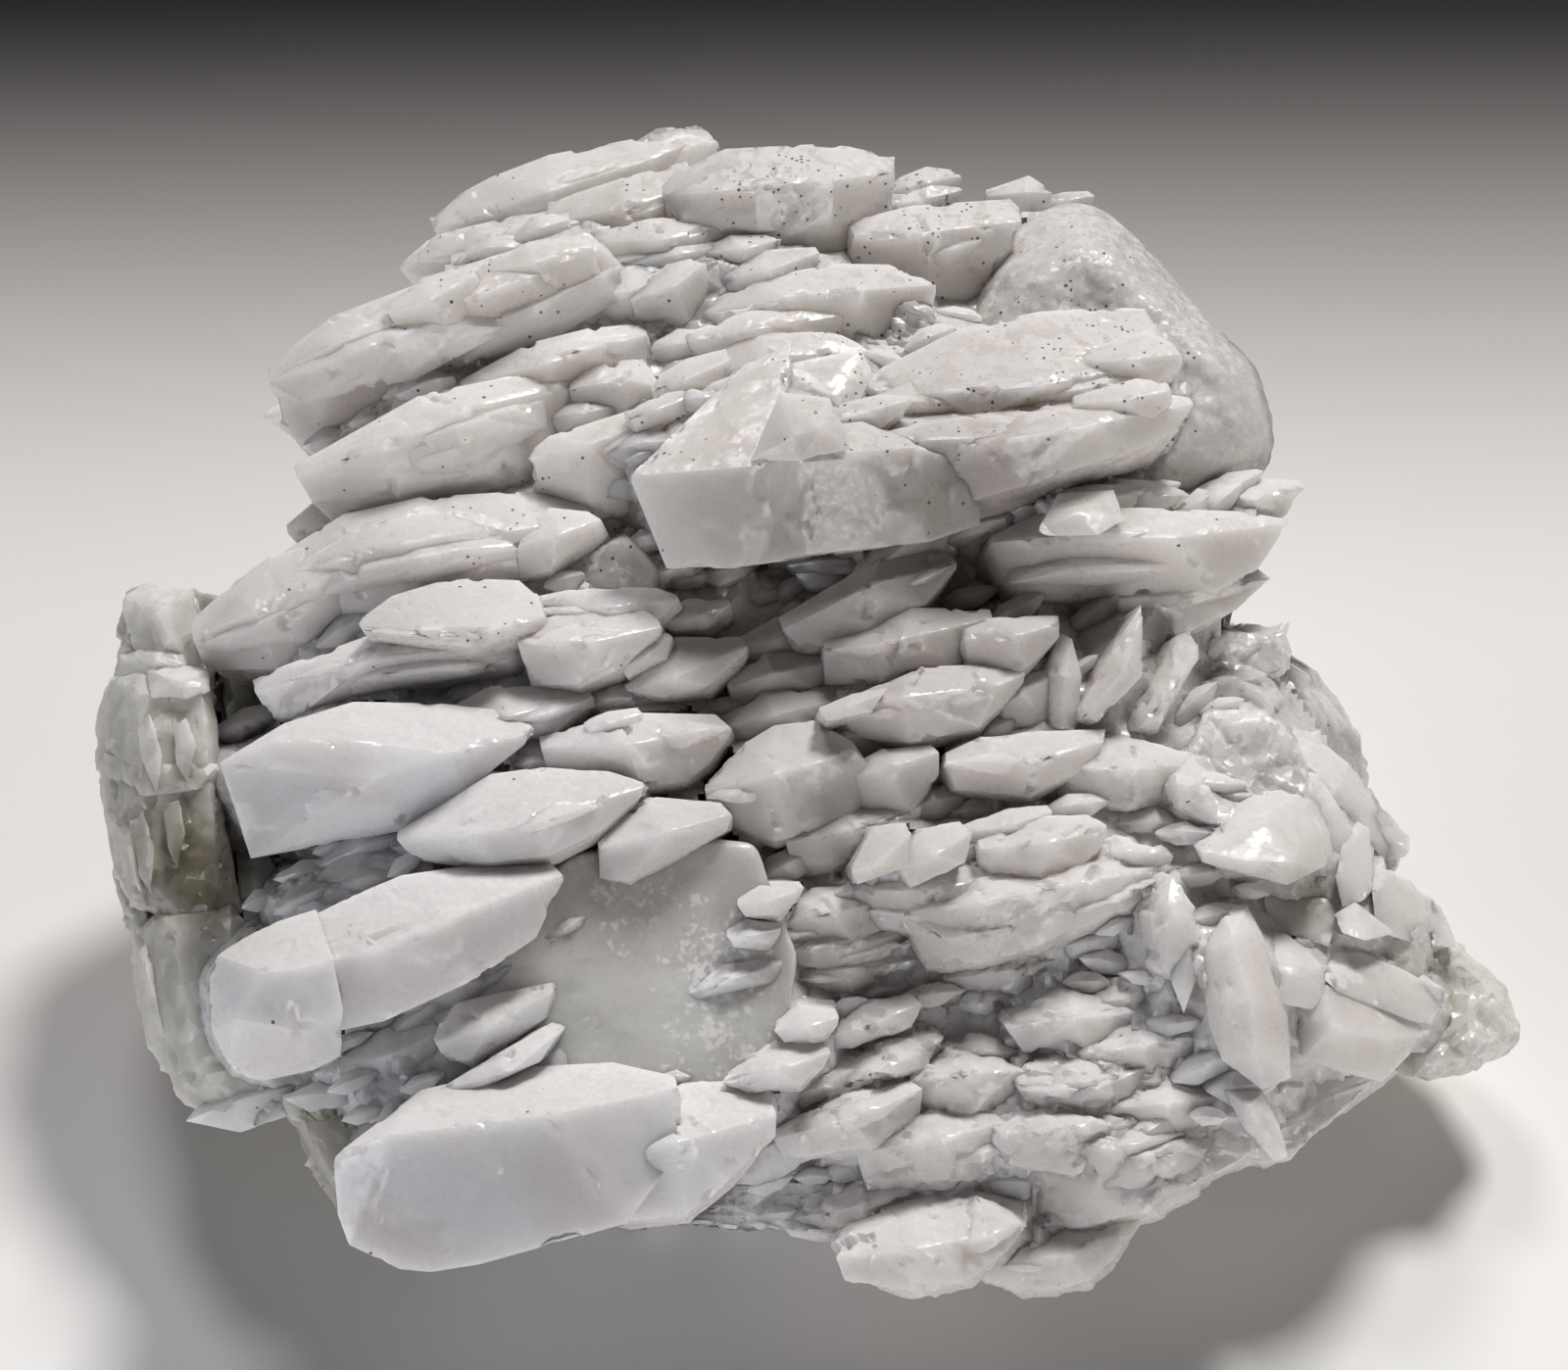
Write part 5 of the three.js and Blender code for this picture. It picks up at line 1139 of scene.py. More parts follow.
# Values of the cells at any points of the drawing, straight between the cells' middles.
def betweenCells(cells, x, y):
    acrossAt = np.clip(x / cellSize - 0.5, 0, cellColumns - 2)
    downAt = np.clip(y / cellSize - 0.5, 0, cellRows - 2)
    column = np.minimum(acrossAt.astype(int), cellColumns - 2)
    row = np.minimum(downAt.astype(int), cellRows - 2)
    onward, down = acrossAt - column, downAt - row
    upperRow = cells[row, column] * (1 - onward) + cells[row, column + 1] * onward
    lowerRow = cells[row + 1, column] * (1 - onward) + cells[row + 1, column + 1] * onward
    return upperRow * (1 - down) + lowerRow * down


# Ground between the crystals, in millimetres but for its step, which is in the drawing's points.
ground = {
    "step": 6.0,
    "depth": 3.6,  # behind the front around it
    "thick": 3.0,
    "facets": ((2.6, 0.75), (1.1, 0.32)),  # size and height of its broken facets
    "hiddenBy": 2.0,  # it is left out where this much lies before it
    "depths": [  # x, y and reach on the drawing, and the depth there
        (1000, 1140, 170, 0.5),
        (1180, 1060, 150, 0.2),
        (1330, 880, 170, 0.3),
        (1290, 1050, 120, 0.3),
        (1100, 1220, 110, 0.3),
        (1250, 760, 120, 0.5),
        (900, 1000, 130, 2.4),
        (700, 250, 180, 2.4),
        (500, 330, 150, 2.6),
        (1100, 700, 90, 2.5),
        (610, 960, 80, 7.0),
        (640, 1050, 80, 7.0),
        (715, 580, 60, 8.0),
        (785, 1222, 50, 7.0),
        (242, 705, 45, 9.0),
        (290, 905, 60, 8.0),
        (1155, 465, 60, 3.0),
    ],
}


# The ground is a sheet over the front view, broken into small facets. Only the cells that show between the crystals
# are kept, and a back and sides close it.
def groundMesh(name):
    frontCells = frontLevels(pieces)
    envelope, _ = blurred(frontCells, 4)
    _, inside = blurred(frontCells, 3)
    x, y = np.meshgrid(np.arange(100, 1560, ground["step"]), np.arange(180, 1330, ground["step"]))
    weights = [np.exp(-((x - cx) ** 2 + (y - cy) ** 2) / reach**2) * 2 for cx, cy, reach, _ in ground["depths"]]
    depth = ground["depth"] + sum(w * spot[3] for w, spot in zip(weights, ground["depths"]))
    level = betweenCells(envelope, x, y) - depth / (1 + sum(weights))
    flat = np.stack([x / perMm, y / perMm, 0 * x], -1)
    for k, (size, height) in enumerate(ground["facets"]):
        level = level + height * facetNoise(flat, size, 40.0 + k)
    hidden = betweenCells(frontCells, x, y) - level > ground["hiddenBy"]
    wellInside = betweenCells(inside, x, y) > 0.985
    shown = wellInside & ~hidden
    for _ in range(3):
        shown = shown | np.roll(shown, 1, 0) | np.roll(shown, -1, 0) | np.roll(shown, 1, 1) | np.roll(shown, -1, 1)
    shown = shown & wellInside
    kept = shown[:-1, :-1] & shown[1:, :-1] & shown[:-1, 1:] & shown[1:, 1:]
    drawn = np.stack([x, y], -1)
    sheets = [onFace(drawn, level).reshape(-1, 3), onFace(drawn, level - ground["thick"]).reshape(-1, 3)]
    index = np.arange(x.size).reshape(x.shape)
    square = [index[:-1, :-1], index[:-1, 1:], index[1:, 1:], index[1:, :-1]]
    a, b, c, d = [corner[kept] for corner in square]
    faces = [np.stack([a, d, c, b], -1), np.stack([a, b, c, d], -1) + x.size]
    rows, columns = kept.shape
    padded = np.pad(kept, 1)
    for fromRow, fromColumn, one, other in ((0, 1, 0, 1), (2, 1, 2, 3), (1, 0, 3, 0), (1, 2, 1, 2)):
        atRim = kept & ~padded[fromRow : fromRow + rows, fromColumn : fromColumn + columns]
        p, q = square[one][atRim], square[other][atRim]
        faces.append(np.stack([p, q, q + x.size, p + x.size], -1))
    used, corners = np.unique(np.concatenate(faces), return_inverse=True)
    places = np.concatenate(sheets)[used] / 1000
    places[:, 2] = np.maximum(places[:, 2], 0.0005)
    mesh = bpy.data.meshes.new(name)
    mesh.from_pydata(places.tolist(), [], corners.reshape(-1, 4).tolist())
    none = np.zeros(len(places))
    keepValues(mesh, {"upper": none, "thin": none, "tint": softNoise(places * 1000, 6.0, 3.0)})
    print("made", name + ":", shadeSmooth(mesh, 32), "triangles")
    return mesh


pieces["groundBetween"] = putInScene("groundBetween", groundMesh("groundBetween"))

# Where each drawn crystal is, and its heading.
rims = [np.array(crystal[2], float).reshape(-1, 2) for crystals in crystalRows.values() for crystal in crystals]
rowMiddles = np.array([rim.mean(0) for rim in rims])
rowHeadings = np.array([(rim[-1] - rim[0]) / np.linalg.norm(rim[-1] - rim[0]) for rim in rims])
chance = np.random.default_rng(7)

# Small crystals where the broken mass shows between the rows, and thin blades that fill the spaces between the
# crystals of the rows. Points of the drawing but for the levels, which are in millimetres.
druse = {
    "count": 4200,  # places tried
    "corners": ((240, 180), (1290, 1260)),
    "spacing": 30.0,
    "length": (36.0, 84.0),
    "thin": (0.13, 0.24),  # height as a share of the length
    "side": 1,  # in front of the mass
    "away": (0.8, 2.0),
    "shallow": 4.0,  # how deep the roots lie
    "smooth": [(640, 960, 85), (680, 1040, 90), (620, 575, 48)],  # bare places: x, y and reach
}
between = {
    "count": 900,
    "corners": ((250, 150), (1300, 1260)),
    "spacing": 34.0,
    "length": (80.0, 170.0),
    "thin": (0.12, 0.2),
    "side": -1,  # behind the front around them
    "away": (1.2, 3.6),
    "shallow": 6.0,
    "smooth": [(640, 1000, 120), (620, 575, 60), (1150, 300, 140), (1250, 400, 110)],
}


# A blade at a point of the drawing, with the heading of the rows near it, a little turned.
def bladeAt(x, y, look):
    gaps = np.linalg.norm(rowMiddles - (x, y), axis=1)
    near = np.exp(-((gaps / 110.0) ** 2)) + 1e-6
    heading = (rowHeadings * near[:, None]).sum(0)
    heading /= np.linalg.norm(heading)
    turn = chance.normal(0, 0.18)
    c, s = np.cos(turn), np.sin(turn)
    heading = np.array([heading[0] * c - heading[1] * s, heading[0] * s + heading[1] * c])
    rising = np.array([heading[1], -heading[0]])
    length = chance.uniform(*look["length"])
    tall = length * chance.uniform(*look["thin"])
    shapes = {  # along the blade from its middle, and up from its axis
        "top": ((-0.42, 0.2), (-0.1, 1.0), (0.25, 0.8), (0.46, 0.25)),
        "rim": ((-0.5, -0.2), (-0.15, 0.08), (0.2, 0.06), (0.5, 0)),
        "low": ((-0.44, -0.4), (-0.2, -1.2), (0.2, -1.0), (0.44, -0.3)),
    }
    return {
        key: [np.array([x, y]) + heading * length * along + rising * tall * up for along, up in shape]
        for key, shape in shapes.items()
    }


# A place is in one of the circles x, y and reach.
def isInCircles(x, y, circles):
    return any((x - cx) ** 2 + (y - cy) ** 2 < reach**2 for cx, cy, reach in circles)


# Blades at seeded places that fit, each at least a spacing from the others, by the levels that they stand at.
def scatterBlades(name, look, seed, fits, levels):
    chosen = []
    surfaces = []
    for x, y in chance.uniform(*look["corners"], (look["count"], 2)):
        row, column = cellOf(x, y)
        if not fits[row, column] or isInCircles(x, y, look["smooth"] + chosen):
            continue
        chosen.append((x, y, look["spacing"]))
        blade = bladeAt(x, y, look)
        blade["out"] = levels[row, column] + look["side"] * chance.uniform(*look["away"])
        blade["shallow"] = look["shallow"]
        corners, broken = crystalCorners(blade)
        surfaces.append(flatCrystal(f"{name}{len(chosen)}", corners, seed + len(chosen), 0.3 * broken))
    return joinSurfaces(name, surfaces)


massNames = ["brokenMass", "groundBetween"]
massCells = frontLevels(massNames)
otherCells = frontLevels([name for name in pieces if name not in massNames])
_, inside = blurred(np.maximum(massCells, otherCells), 3)
massShows = (massCells > otherCells + 0.4) & (inside >= 0.97)
pieces["smallCrystals"] = scatterBlades("smallCrystals", druse, 3000.0, massShows, massCells)

cells = frontLevels(pieces)
envelope, inside = blurred(cells, 3)
gap = envelope - cells
gapShows = (gap >= 0.6) & (gap <= 9) & (inside >= 0.97)
pieces["bladesBetween"] = scatterBlades("bladesBetween", between, 5000.0, gapShows, envelope)

# Painted shade: where a place lies behind the front around it, in millimetres, and faces the view, it is darkened
# brown-grey as if in shadow. The shade is thinner in lighter areas, which are given by x, y, reach and strength on
# the drawing.
hollowShadeLook = {"full": 9.0, "deepest": 26.0, "fade": 6.0, "mostLightened": 0.92}
lighterShadeAreas = [
    (420, 330, 220, 0.82),
    (720, 220, 230, 0.85),
    (1330, 950, 240, 1.0),
    (1150, 300, 120, 0.8),
    (300, 1020, 180, 0.5),
    (1150, 1130, 230, 0.8),
]
cells = frontLevels(pieces)
envelope, _ = blurred(cells, 6)
towardsView = {}
for piece in pieces.values():
    x, y, level = ontoDrawing(vertexPlaces(piece.data))
    facing = np.clip(vertexNormals(piece.data) @ towardsEye * 2.5 + 0.2, 0, 1)
    towardsView[piece.name] = facing
    depth = envelope[cellOf(x, y)] - level
    notTooDeep = np.clip((hollowShadeLook["deepest"] - depth) / hollowShadeLook["fade"], 0, 1)
    left = 1 - np.clip(gathered(x, y, lighterShadeAreas), 0, hollowShadeLook["mostLightened"])
    keepValues(piece.data, {"hollowShade": np.clip(depth / hollowShadeLook["full"], 0, 1) * facing * notTooDeep * left})
print("hollows measured")


# How convex the surface is at each vertex: over its edges, the mean of how far the normals at their ends part,
# along the edge, blended with the same of the vertices beside it. Worn edges are positive and creases negative.
def convexity(mesh):
    count = len(mesh.vertices)
    ends = np.empty(len(mesh.edges) * 2, np.int32)
    mesh.edges.foreach_get("vertices", ends)
    ends = ends.reshape(-1, 2)
    normals = vertexNormals(mesh)
    places = vertexPlaces(mesh)
    run = places[ends[:, 1]] - places[ends[:, 0]]
    length = np.linalg.norm(run, axis=1)
    parting = np.einsum("ij,ij->i", normals[ends[:, 1]] - normals[ends[:, 0]], run) / np.maximum(length, 0.05)
    weight = np.clip(length, 0.05, 0.6)
    total = np.bincount(ends.ravel(), np.repeat(parting * weight, 2), count)
    bend = total / np.maximum(np.bincount(ends.ravel(), np.repeat(weight, 2), count), 1e-9)
    beside = np.bincount(ends[:, 0], bend[ends[:, 1]], count) + np.bincount(ends[:, 1], bend[ends[:, 0]], count)
    beside = beside / np.maximum(np.bincount(ends.ravel(), minlength=count), 1)
    return 0.65 * bend + 0.35 * beside


for piece in pieces.values():
    bend = convexity(piece.data)
    # the creases' values darken them with painted shade; the edges' values wear them white
    keepValues(piece.data, {"edge": np.clip(bend, 0, 1), "creaseShade": np.clip(-bend, 0, 1)})
print("edges and creases measured")

# Where colours gather, in the drawing's points: x, y, how far they reach, and how strong they are there.
toneAreas = {
    "clear": [
        (620, 260, 300, 0.6),
        (720, 450, 110, 1.0),
        (1080, 380, 160, 0.5),
        (1100, 540, 70, 1.0),
        (280, 600, 120, 0.7),
    ],
    "crumbs": [
        (640, 910, 60, 0.7),
        (735, 985, 55, 0.9),
        (730, 1075, 60, 0.8),
        (620, 575, 50, 1.0),
        (600, 1090, 50, 0.5),
        (1200, 480, 120, 0.5),
        (1000, 250, 100, 0.4),
        (480, 960, 60, 0.6),
        (560, 800, 60, 0.4),
    ],
    "specks": [
        (800, 178, 90, 0.9),
        (975, 225, 50, 1.0),
        (900, 290, 50, 0.7),
        (1120, 350, 80, 0.6),
        (960, 440, 80, 0.4),
        (500, 290, 90, 0.35),
        (690, 440, 50, 0.3),
        (520, 560, 90, 0.25),
        (850, 385, 45, 0.9),
    ],
    # painted shade over undersides and recesses that lie in shadow
    "paintedShade": [
        (400, 580, 100, 0.22),
        (800, 545, 90, 0.5),
        (930, 600, 150, 0.7),
        (1010, 520, 80, 0.9),
        (760, 800, 140, 0.3),
        (1000, 1110, 160, 0.2),
        (1110, 1240, 100, 0.2),
        (1130, 660, 70, 0.4),
        (900, 920, 90, 0.3),
    ],
    "stain": [(208, 912, 50, 1.0), (190, 850, 50, 0.45), (1335, 915, 34, 0.6), (165, 840, 70, 0.25)],
    "bluish": [(300, 1000, 260, 0.8), (560, 1150, 300, 1.0), (420, 760, 200, 0.5)],
    "yellowish": [(1480, 1010, 110, 0.8), (1300, 560, 90, 0.2), (1180, 480, 90, 0.3), (560, 230, 200, 0.15)],
}
for piece in pieces.values():
    x, y, level = ontoDrawing(vertexPlaces(piece.data))
    strengths = {key: gathered(x, y, spots) for key, spots in toneAreas.items()}
    strengths["specks"] = strengths["specks"] * towardsView[piece.name]  # dust lies on the side that is seen
    keepValues(piece.data, {key: np.clip(strength, 0, 1) for key, strength in strengths.items()})
print("tones placed")


# A colour given as sRGB hex, turned to linear by the sRGB curve.
def toLinear(hexColour):
    parts = np.array([int(hexColour[k : k + 2], 16) for k in (1, 3, 5)]) / 255
    linear = np.where(parts <= 0.04045, parts / 12.92, ((parts + 0.055) / 1.055) ** 2.4)
    return (*linear.tolist(), 1.0)


# Adds a node to a material from one row of its table: a name, a kind with the output that the name stands for,
# settings and inputs. An input is a value, a colour as sRGB hex, or the name of an earlier row, which another of its
# outputs may follow after a dot.
def addNode(tree, made, name, kind, settings, inputs):
    kind, _, output = kind.partition(".")
    node = tree.nodes.new("ShaderNode" + kind)
    for key, value in settings.items():
        setattr(node, key, value)
    for key, value in inputs.items():
        if not isinstance(value, str):
            node.inputs[key].default_value = value
        elif value.startswith("#"):
            node.inputs[key].default_value = toLinear(value)
        else:
            source, _, other = value.partition(".")
            earlier, usual = made[source]
            tree.links.new(earlier.outputs[other or usual], node.inputs[key])
    made[name] = node, int(output) if output.isdigit() else output or 0


# A material of the nodes in a table.
def materialOf(name, table):
    material = bpy.data.materials.new(name)
    material.use_nodes = True
    material.node_tree.nodes.clear()
    made = {}
    for row in table:
        addNode(material.node_tree, made, *row)
    return material


# Settings of nodes that are used many times.
multiply, multiplyAdd = {"operation": "MULTIPLY"}, {"operation": "MULTIPLY_ADD"}
lessThan, smooth, colours = {"operation": "LESS_THAN"}, {"interpolation_type": "SMOOTHSTEP"}, {"data_type": "RGBA"}
clamped = {"operation": "MULTIPLY_ADD", "use_clamp": True}


# Milky calcite as it grew: waxy and translucent. A thin dusty film makes the upper bevels paler and duller, white
# powder lies in ragged patches where they face up, and edges are worn white. Painted shade darkens the faces that
# turn down, the creases, the undersides in shadow and the hollows (brown-grey), and thin edges get a painted glow.
# frost makes it sugary all over, and chipTilt tilts the small planes that a break leaves in it.
def milkyCalcite(name, look):
    filmFrom, powderFrom, shade = 1.05 - 1.3 * look["frost"], look["powderFrom"], look["shade"]
    table = [
        ("spot", "TexCoord.Object", {}, {}),
        ("normal", "NewGeometry.Normal", {}, {}),
        ("facingUp", "SeparateXYZ.Z", {}, {0: "normal"}),
    ]
    for key in ("upper", "thin", "tint", "hollowShade", "edge", "creaseShade", *toneAreas):
        table.append((key, "Attribute.Fac", {"attribute_name": key}, {}))

    # noises: size in millimetres, detail, roughness, and how far along the noise is read, so that none is alike
    for key, sizeMm, detail, rough, along in (
        ("patches", look["patchMm"], 2.5, 0.65, 0.0),
        ("grains", look["grainMm"], 1.5, 0.6, 0.3),
        ("cloud", 5.0, 2.0, 0.5, 1.1),
        ("sugar", look["sugarMm"], 1.5, 0.7, 2.1),
    ):
        table.append(("moved", "Mapping", {}, {"Vector": "spot", "Location": (along, along, along)}))
        inputs = {"Vector": "moved", "Scale": 500.0 / sizeMm, "Detail": detail, "Roughness": rough}
        table.append((key, "TexNoise.Fac", {}, inputs))

    # weighted sums, each from a start: the film lies on the upper bevels, thinner in places, and the powder where
    # the patches' noise is high
    powderOn = {"facingUp": 0.3, "patches": 1.0, "grains": 0.9, "crumbs": 0.35, "edge": 0.8}
    for key, start, weights in (
        ("film", -0.8, {"upper": 0.9, "facingUp": 0.3, "patches": 1.6, "clear": -0.45, "grains": 0.3}),
        ("powder", 0.0, {**powderOn, "upper": 0.22, "hollowShade": -0.2, "clear": -0.2}),
        # the faces that don't face up, for painted shade
        ("downFacingShade", 1.0, {"upper": -1.0}),
        ("ownTint", 1.0, {"tint": 1.0}),
        ("sugary", 0.5 + 0.6 * look["frost"], {"upper": 0.7}),
        ("speckWidth", 0.04, {"grains": 0.5}),
    ):
        for part, weight in weights.items():
            table.append((key, "Math", multiplyAdd, {0: part, 1: weight, 2: start}))
            start = key

    # smooth steps from 0 at the first value to 1 at the second
    for key, value, low, high in (
        ("film", "film", filmFrom, filmFrom + 0.12),
        ("powder", "powder", powderFrom - 0.25, powderFrom - 0.09),
        ("veil", "cloud", 0.36, 0.7),
        ("pale", "grains", 0.3, 0.62),
        ("wornEdge", "edge", 0.09, 0.24),
        ("wornGrain", "grains", 0.15, 0.45),
        # share of the painted shade in creases
        ("creaseShadeShare", "creaseShade", 0.16, 0.5),
        # share of the painted shade in hollows
        ("deep", "hollowShade", 0.16, 0.75),
        ("speckPatch", "patches", 0.45, 0.62),
    ):
        table.append((key, "MapRange", smooth, {"Value": value, "From Min": low, "From Max": high}))

    # specks of dirt: a few of the cells of half a millimetre, cut to a ragged dot
    table += [
        ("worn", "Math", multiply, {0: "wornEdge", 1: "wornGrain"}),
        ("cells", "TexVoronoi.Distance", {}, {"Vector": "spot", "Scale": 1000.0 / 0.5}),
        ("cell", "SeparateXYZ.X", {}, {0: "cells.Color"}),
        ("speckShare", "Math", multiply, {0: "specks", 1: "speckPatch"}),
        ("speckShare", "Math", multiplyAdd, {0: "speckShare", 1: 0.6, 2: 0.002}),
        ("speckHere", "Math", lessThan, {0: "cell", 1: "speckShare"}),
        ("speck", "Math", lessThan, {0: "cells", 1: "speckWidth"}),
        ("speck", "Math", multiply, {0: "speck", 1: "speckHere"}),
        ("dusty", "Mix.2", colours, {0: "pale", 6: look["filmDark"], 7: look["film"]}),
        ("colour", "Mix.2", colours, {0: "bluish", 6: look["body"], 7: look["cool"]}),
    ]

    # colours laid over the body, one on the other: where, how strong, and the colour
    for where, strength, coat in (
        ("ownTint", 0.1, shade),
        # painted shade on the faces that turn down, away from the light
        ("downFacingShade", 0.16, shade),
        ("veil", 0.4, shade),
        ("yellowish", 0.45, "#DAD5C2"),
        ("specks", 0.4, "#A79F99"),
        # painted glow near thin edges, as of light passing through
        ("thin", 0.32, "#F2F0EF"),
        ("film", 0.85, "dusty"),
        ("powder", 1.0, look["powder"]),
        ("worn", 0.45, look["powder"]),
        # painted shade in creases
        ("creaseShadeShare", 0.25, "#5A514B"),
        ("stain", 0.8, "#6F6546"),
        # painted shade where undersides lie in shadow
        ("paintedShade", 0.6, "#857A73"),
        # painted brown-grey shade in hollows
        ("deep", look["hollowShadeStrength"], "#332C27"),
        ("speck", 0.85, "#29231F"),
    ):
        table.append(("share", "Math", multiply, {0: where, 1: strength}))
        table.append(("colour", "Mix.2", colours, {0: "share", 6: "colour", 7: coat}))

    # film and powder are dull and let less light in
    table += [
        ("filmDull", "Math", multiply, {0: "film", 1: 0.75}),
        ("dull", "Math", {"operation": "MAXIMUM"}, {0: "filmDull", 1: "powder"}),
        ("rough", "MapRange", {}, {"Value": "dull", "To Min": look["roughness"] - 0.15, "To Max": 0.7}),
        ("rough", "Math", clamped, {0: "grains", 1: 0.3, 2: "rough"}),
        ("scatter", "Math", clamped, {0: "dull", 1: -0.8, 2: look["scatter"]}),
        ("relief", "Math", multiply, {0: "sugar", 1: "sugary"}),
    ]
    # small faces of a break: each cell is a plane with a tilt of its own
    if look["chipTilt"] > 0:
        tilted = 1000.0 * look["chipTilt"] / look["reliefMm"]
        table += [
            ("chips", "TexVoronoi.Position", {}, {"Vector": "spot", "Scale": 1000.0 / look["chipMm"]}),
            ("fromMiddle", "VectorMath", {"operation": "SUBTRACT"}, {0: "spot", 1: "chips"}),
            ("tilts", "VectorMath", {"operation": "SUBTRACT"}, {0: "chips.Color", 1: (0.5, 0.5, 0.5)}),
            ("plane", "VectorMath.Value", {"operation": "DOT_PRODUCT"}, {0: "fromMiddle", 1: "tilts"}),
            ("relief", "Math", multiplyAdd, {0: "plane", 1: tilted, 2: "relief"}),
        ]
    inputs = {
        "Base Color": "colour",
        "Roughness": "rough",
        "IOR": 1.55,
        "Subsurface Weight": "scatter",
        "Subsurface Radius": tuple(mm / 1000 for mm in look["scatterMm"]),
        "Subsurface Scale": 1.0,
        "Normal": "bump",
    }
    table += [
        ("bump", "Bump", {}, {"Strength": 0.8, "Distance": look["reliefMm"] / 1000, "Height": "relief"}),
        ("calcite", "BsdfPrincipled", {"subsurface_method": "RANDOM_WALK"}, inputs),
        ("surface", "OutputMaterial", {}, {"Surface": "calcite"}),
    ]
    return materialOf(name, table)


# The kinds of calcite. Colours are sRGB, sizes in millimetres.
grownLook = {
    "body": "#EDE8E3",
    "cool": "#E5E6EC",  # where the body is bluish
    "shade": "#C6BDB5",  # its veils, tints and the painted shade of its lower faces
    "film": "#E0DDDB",
    "filmDark": "#DAD6D4",
    "powder": "#E5E3E2",
    "frost": 0.0,
    "roughness": 0.3,
    "scatter": 0.85,  # share of the light that is scattered inside
    "scatterMm": (4.4, 4.2, 4.0),
    "patchMm": 1.1,  # the powder's patches
    "powderFrom": 1.9,  # lower gives more powder
    "grainMm": 0.28,
    "sugarMm": 0.8,
    "reliefMm": 0.16,
    # how strong the painted brown-grey shade in hollows is
    "hollowShadeStrength": 0.85,
    "chipMm": 1.0,  # the small planes of a break
    "chipTilt": 0.0,
}
frostedLook = {
    **grownLook,
    "body": "#E6E2DF",
    "shade": "#CDC7C2",
    "film": "#DEDAD7",
    "filmDark": "#D5D0CC",
    "powder": "#ECE9E6",
    "frost": 0.6,
    "scatter": 0.4,
    "scatterMm": (2.2, 2.0, 1.9),
    "patchMm": 0.7,
    "powderFrom": 2.2,
    "sugarMm": 1.0,
    "reliefMm": 0.3,
    "chipMm": 0.7,
    "chipTilt": 0.4,
}
brokenLook = {
    **grownLook,
    "body": "#F1EFEC",
    "shade": "#DBD6D1",
    "filmDark": "#DAD7D6",
    "frost": 0.2,
    "scatter": 0.5,
    "sugarMm": 0.7,
    "reliefMm": 0.25,
    "chipTilt": 0.9,
}
glassyLook = {
    **grownLook,
    "body": "#D6D4CB",
    "cool": "#D6D4CB",
    "shade": "#ABA89B",
    "roughness": 0.36,
    "powderFrom": 2.3,
    "sugarMm": 0.9,
    "reliefMm": 0.2,
    # how strong the painted brown-grey shade in hollows is
    "hollowShadeStrength": 0.3,
    "chipMm": 1.6,
    "chipTilt": 0.7,
}
plateLook = {
    **grownLook,
    "body": "#DCDDD9",
    "cool": "#DCDDD9",
    "film": "#D8D9D6",
    "filmDark": "#C6C7C3",
    "patchMm": 0.8,
    "powderFrom": 1.72,
}
grown = milkyCalcite("milkyCalciteGrown", grownLook)
frosted = milkyCalcite("frostedCalciteCrust", frostedLook)
broken = milkyCalcite("milkyCalciteBroken", brokenLook)
glassy = milkyCalcite("glassyCalciteBroken", glassyLook)
plate = milkyCalcite("smoothCalcitePlate", plateLook)
finishes = {
    "brokenMass": broken,
    "rightBlocks": broken,
    "groundBetween": broken,
    "glassyRim": glassy,
    "rimColumns": glassy,
    "frostedDome": frosted,
    "smoothPlates": plate,
}
for name, piece in pieces.items():
    piece.data.materials.clear()
    piece.data.materials.append(finishes.get(name, grown))
    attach(piece, "root")
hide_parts("calcite_cluster")
print("materials made")
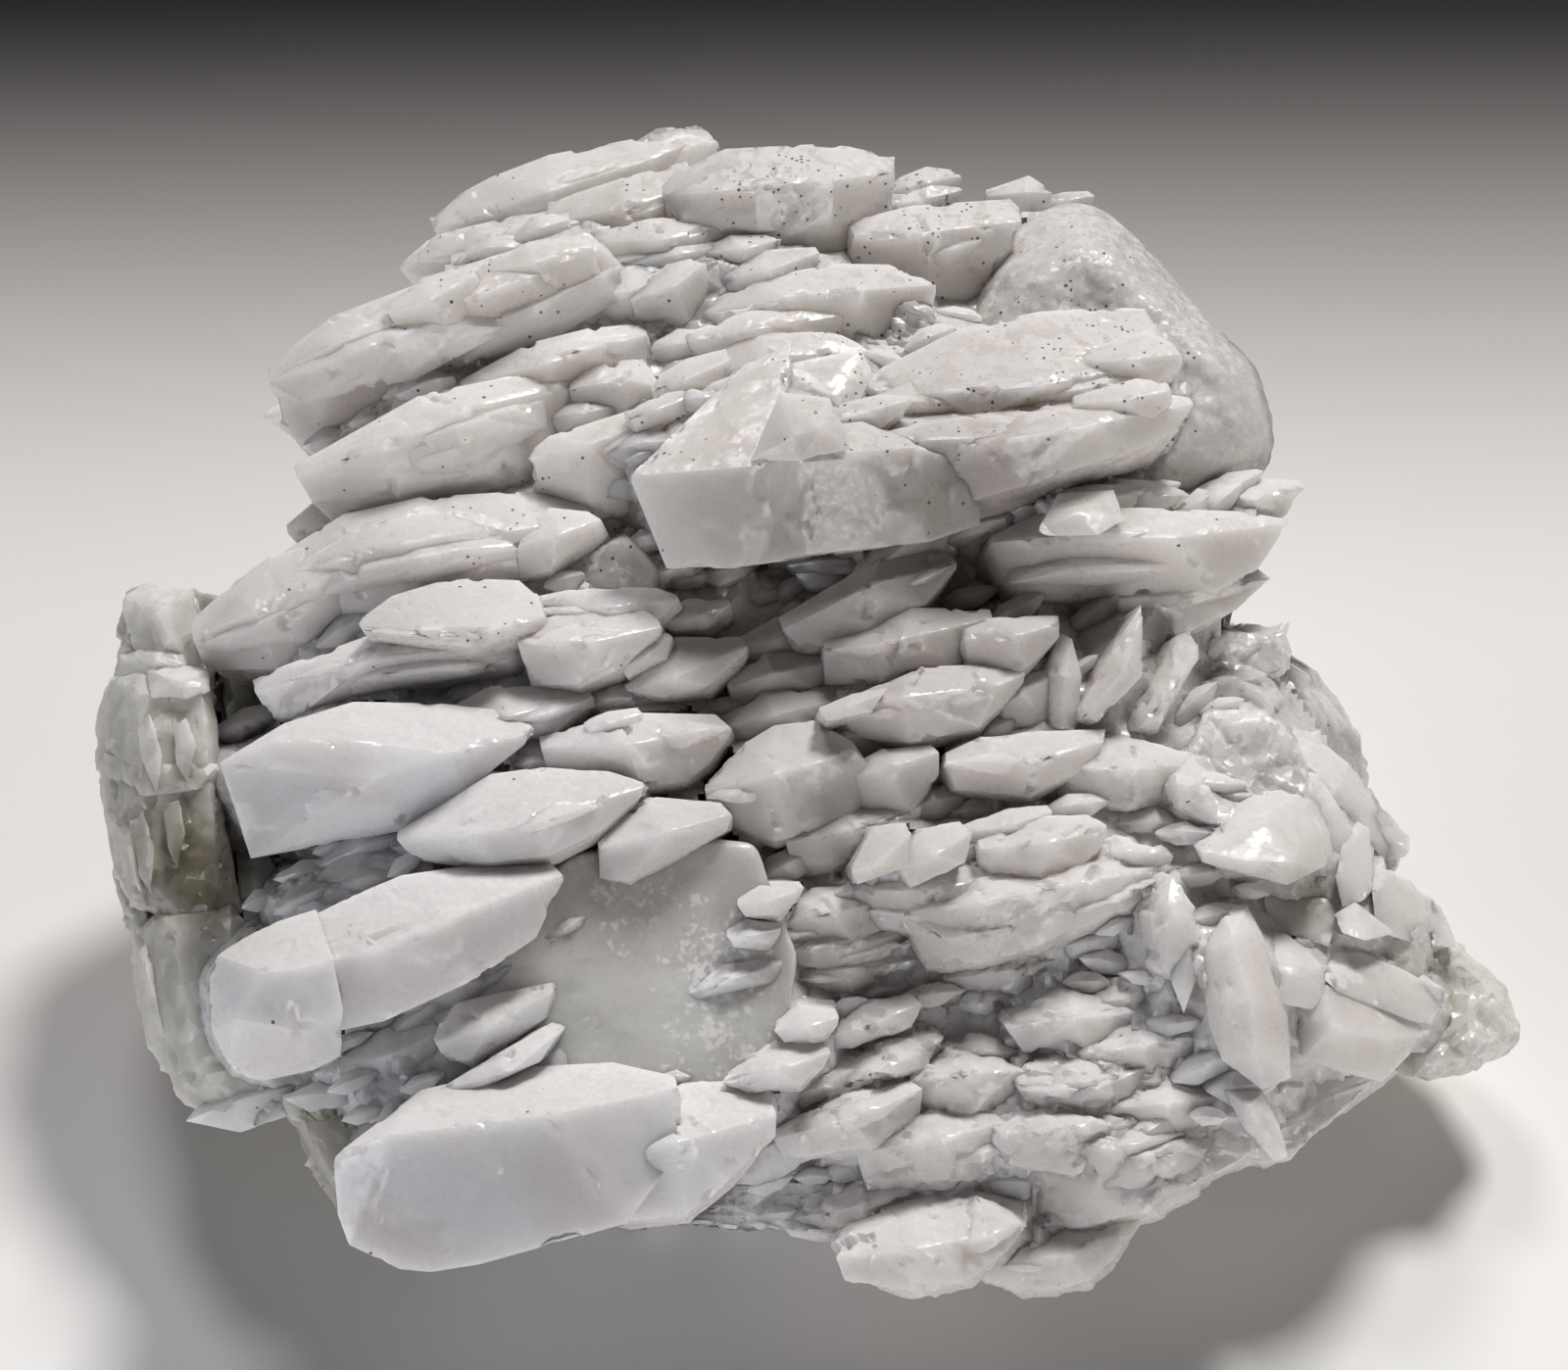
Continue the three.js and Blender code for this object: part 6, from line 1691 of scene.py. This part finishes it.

# The stage: a painted board, smooth and matt. Its colour fades from nearly white at the front, a painted pool of
# light, to dark far behind, painted shade of the light's falloff. In metres.
stage = {
    "near": "#FCFAF8",
    "nearFades": (-0.05, 0.01),  # from and to, towards the back
    "floor": "#ECE8E5",
    "floorFades": (0.03, 0.155),
    "far": "#151211",
}
nearFades = {"Value": "back", "From Min": stage["nearFades"][0], "From Max": stage["nearFades"][1]}
floorFades = {"Value": "back", "From Min": stage["floorFades"][0], "From Max": stage["floorFades"][1]}
boardTable = [
    ("spot", "TexCoord.Object", {}, {}),
    ("back", "SeparateXYZ.Y", {}, {0: "spot"}),
    ("nearShare", "MapRange", smooth, nearFades),
    ("farShare", "MapRange", smooth, floorFades),
    ("floor", "Mix.2", colours, {0: "nearShare", 6: stage["near"], 7: stage["floor"]}),
    ("colour", "Mix.2", colours, {0: "farShare", 6: "floor", 7: stage["far"]}),
    ("board", "BsdfPrincipled", {}, {"Base Color": "colour", "Roughness": 0.6, "Specular IOR Level": 0.1}),
    ("surface", "OutputMaterial", {}, {"Surface": "board"}),
]
floorMesh = bpy.data.meshes.new("paleFloor")
floorMesh.from_pydata([(-3, -2, 0), (3, -2, 0), (3, 3, 0), (-3, 3, 0)], [], [(0, 1, 2, 3)])
floorMesh.materials.append(materialOf("boardPaintedFalloff", boardTable))
putInScene("paleFloor", floorMesh)

# Soft light from above and behind on both sides, a low fill from the left and the front, and a dim pale room.
lights = {
    "backRight": {"at": (0.32, 0.6, 1.0), "size": 0.3, "watts": 10.8, "colour": "#FFFDFB"},
    "backLeft": {"at": (-0.2, 0.62, 1.0), "size": 0.34, "watts": 3.6, "colour": "#FCFCFF"},
    "leftFill": {"at": (-0.6, -0.5, 0.07), "size": 0.4, "watts": 2.1, "colour": "#F4F6FF"},
    "frontFill": {"at": (0.5, -1.0, 0.08), "size": 0.5, "watts": 4.5, "colour": "#FFFFFF"},
}
aim = Vector((0, 0, 0.03))
for name, light in lights.items():
    lamp = bpy.data.lights.new(name, "AREA")
    lamp.shape = "DISK"
    lamp.size = light["size"]
    lamp.energy = light["watts"]
    lamp.color = toLinear(light["colour"])[:3]
    holder = putInScene(name, lamp)
    holder.location = light["at"]
    holder.rotation_euler = (aim - Vector(light["at"])).to_track_quat("-Z", "Y").to_euler()
world = bpy.data.worlds.new("room")
bpy.context.scene.world = world
world.use_nodes = True
world.node_tree.nodes["Background"].inputs["Color"].default_value = toLinear("#C9CBD0")
world.node_tree.nodes["Background"].inputs["Strength"].default_value = 0.03

# The camera stands where the front view's eye is.
camera = putInScene("camera", bpy.data.cameras.new("camera"))
camera.location = (faceCentre + towardsEye * face["eyeDistance"]) / 1000
camera.rotation_euler = (np.pi / 2 - viewRise, 0, 0)
camera.data.sensor_width = 36
camera.data.lens = 36 * face["eyeDistance"] / face["width"]
camera.data.clip_start = 0.01
camera.data.clip_end = 20
bpy.context.scene.camera = camera
bpy.context.scene.view_settings.view_transform = "Standard"
print("stage, light and camera set")
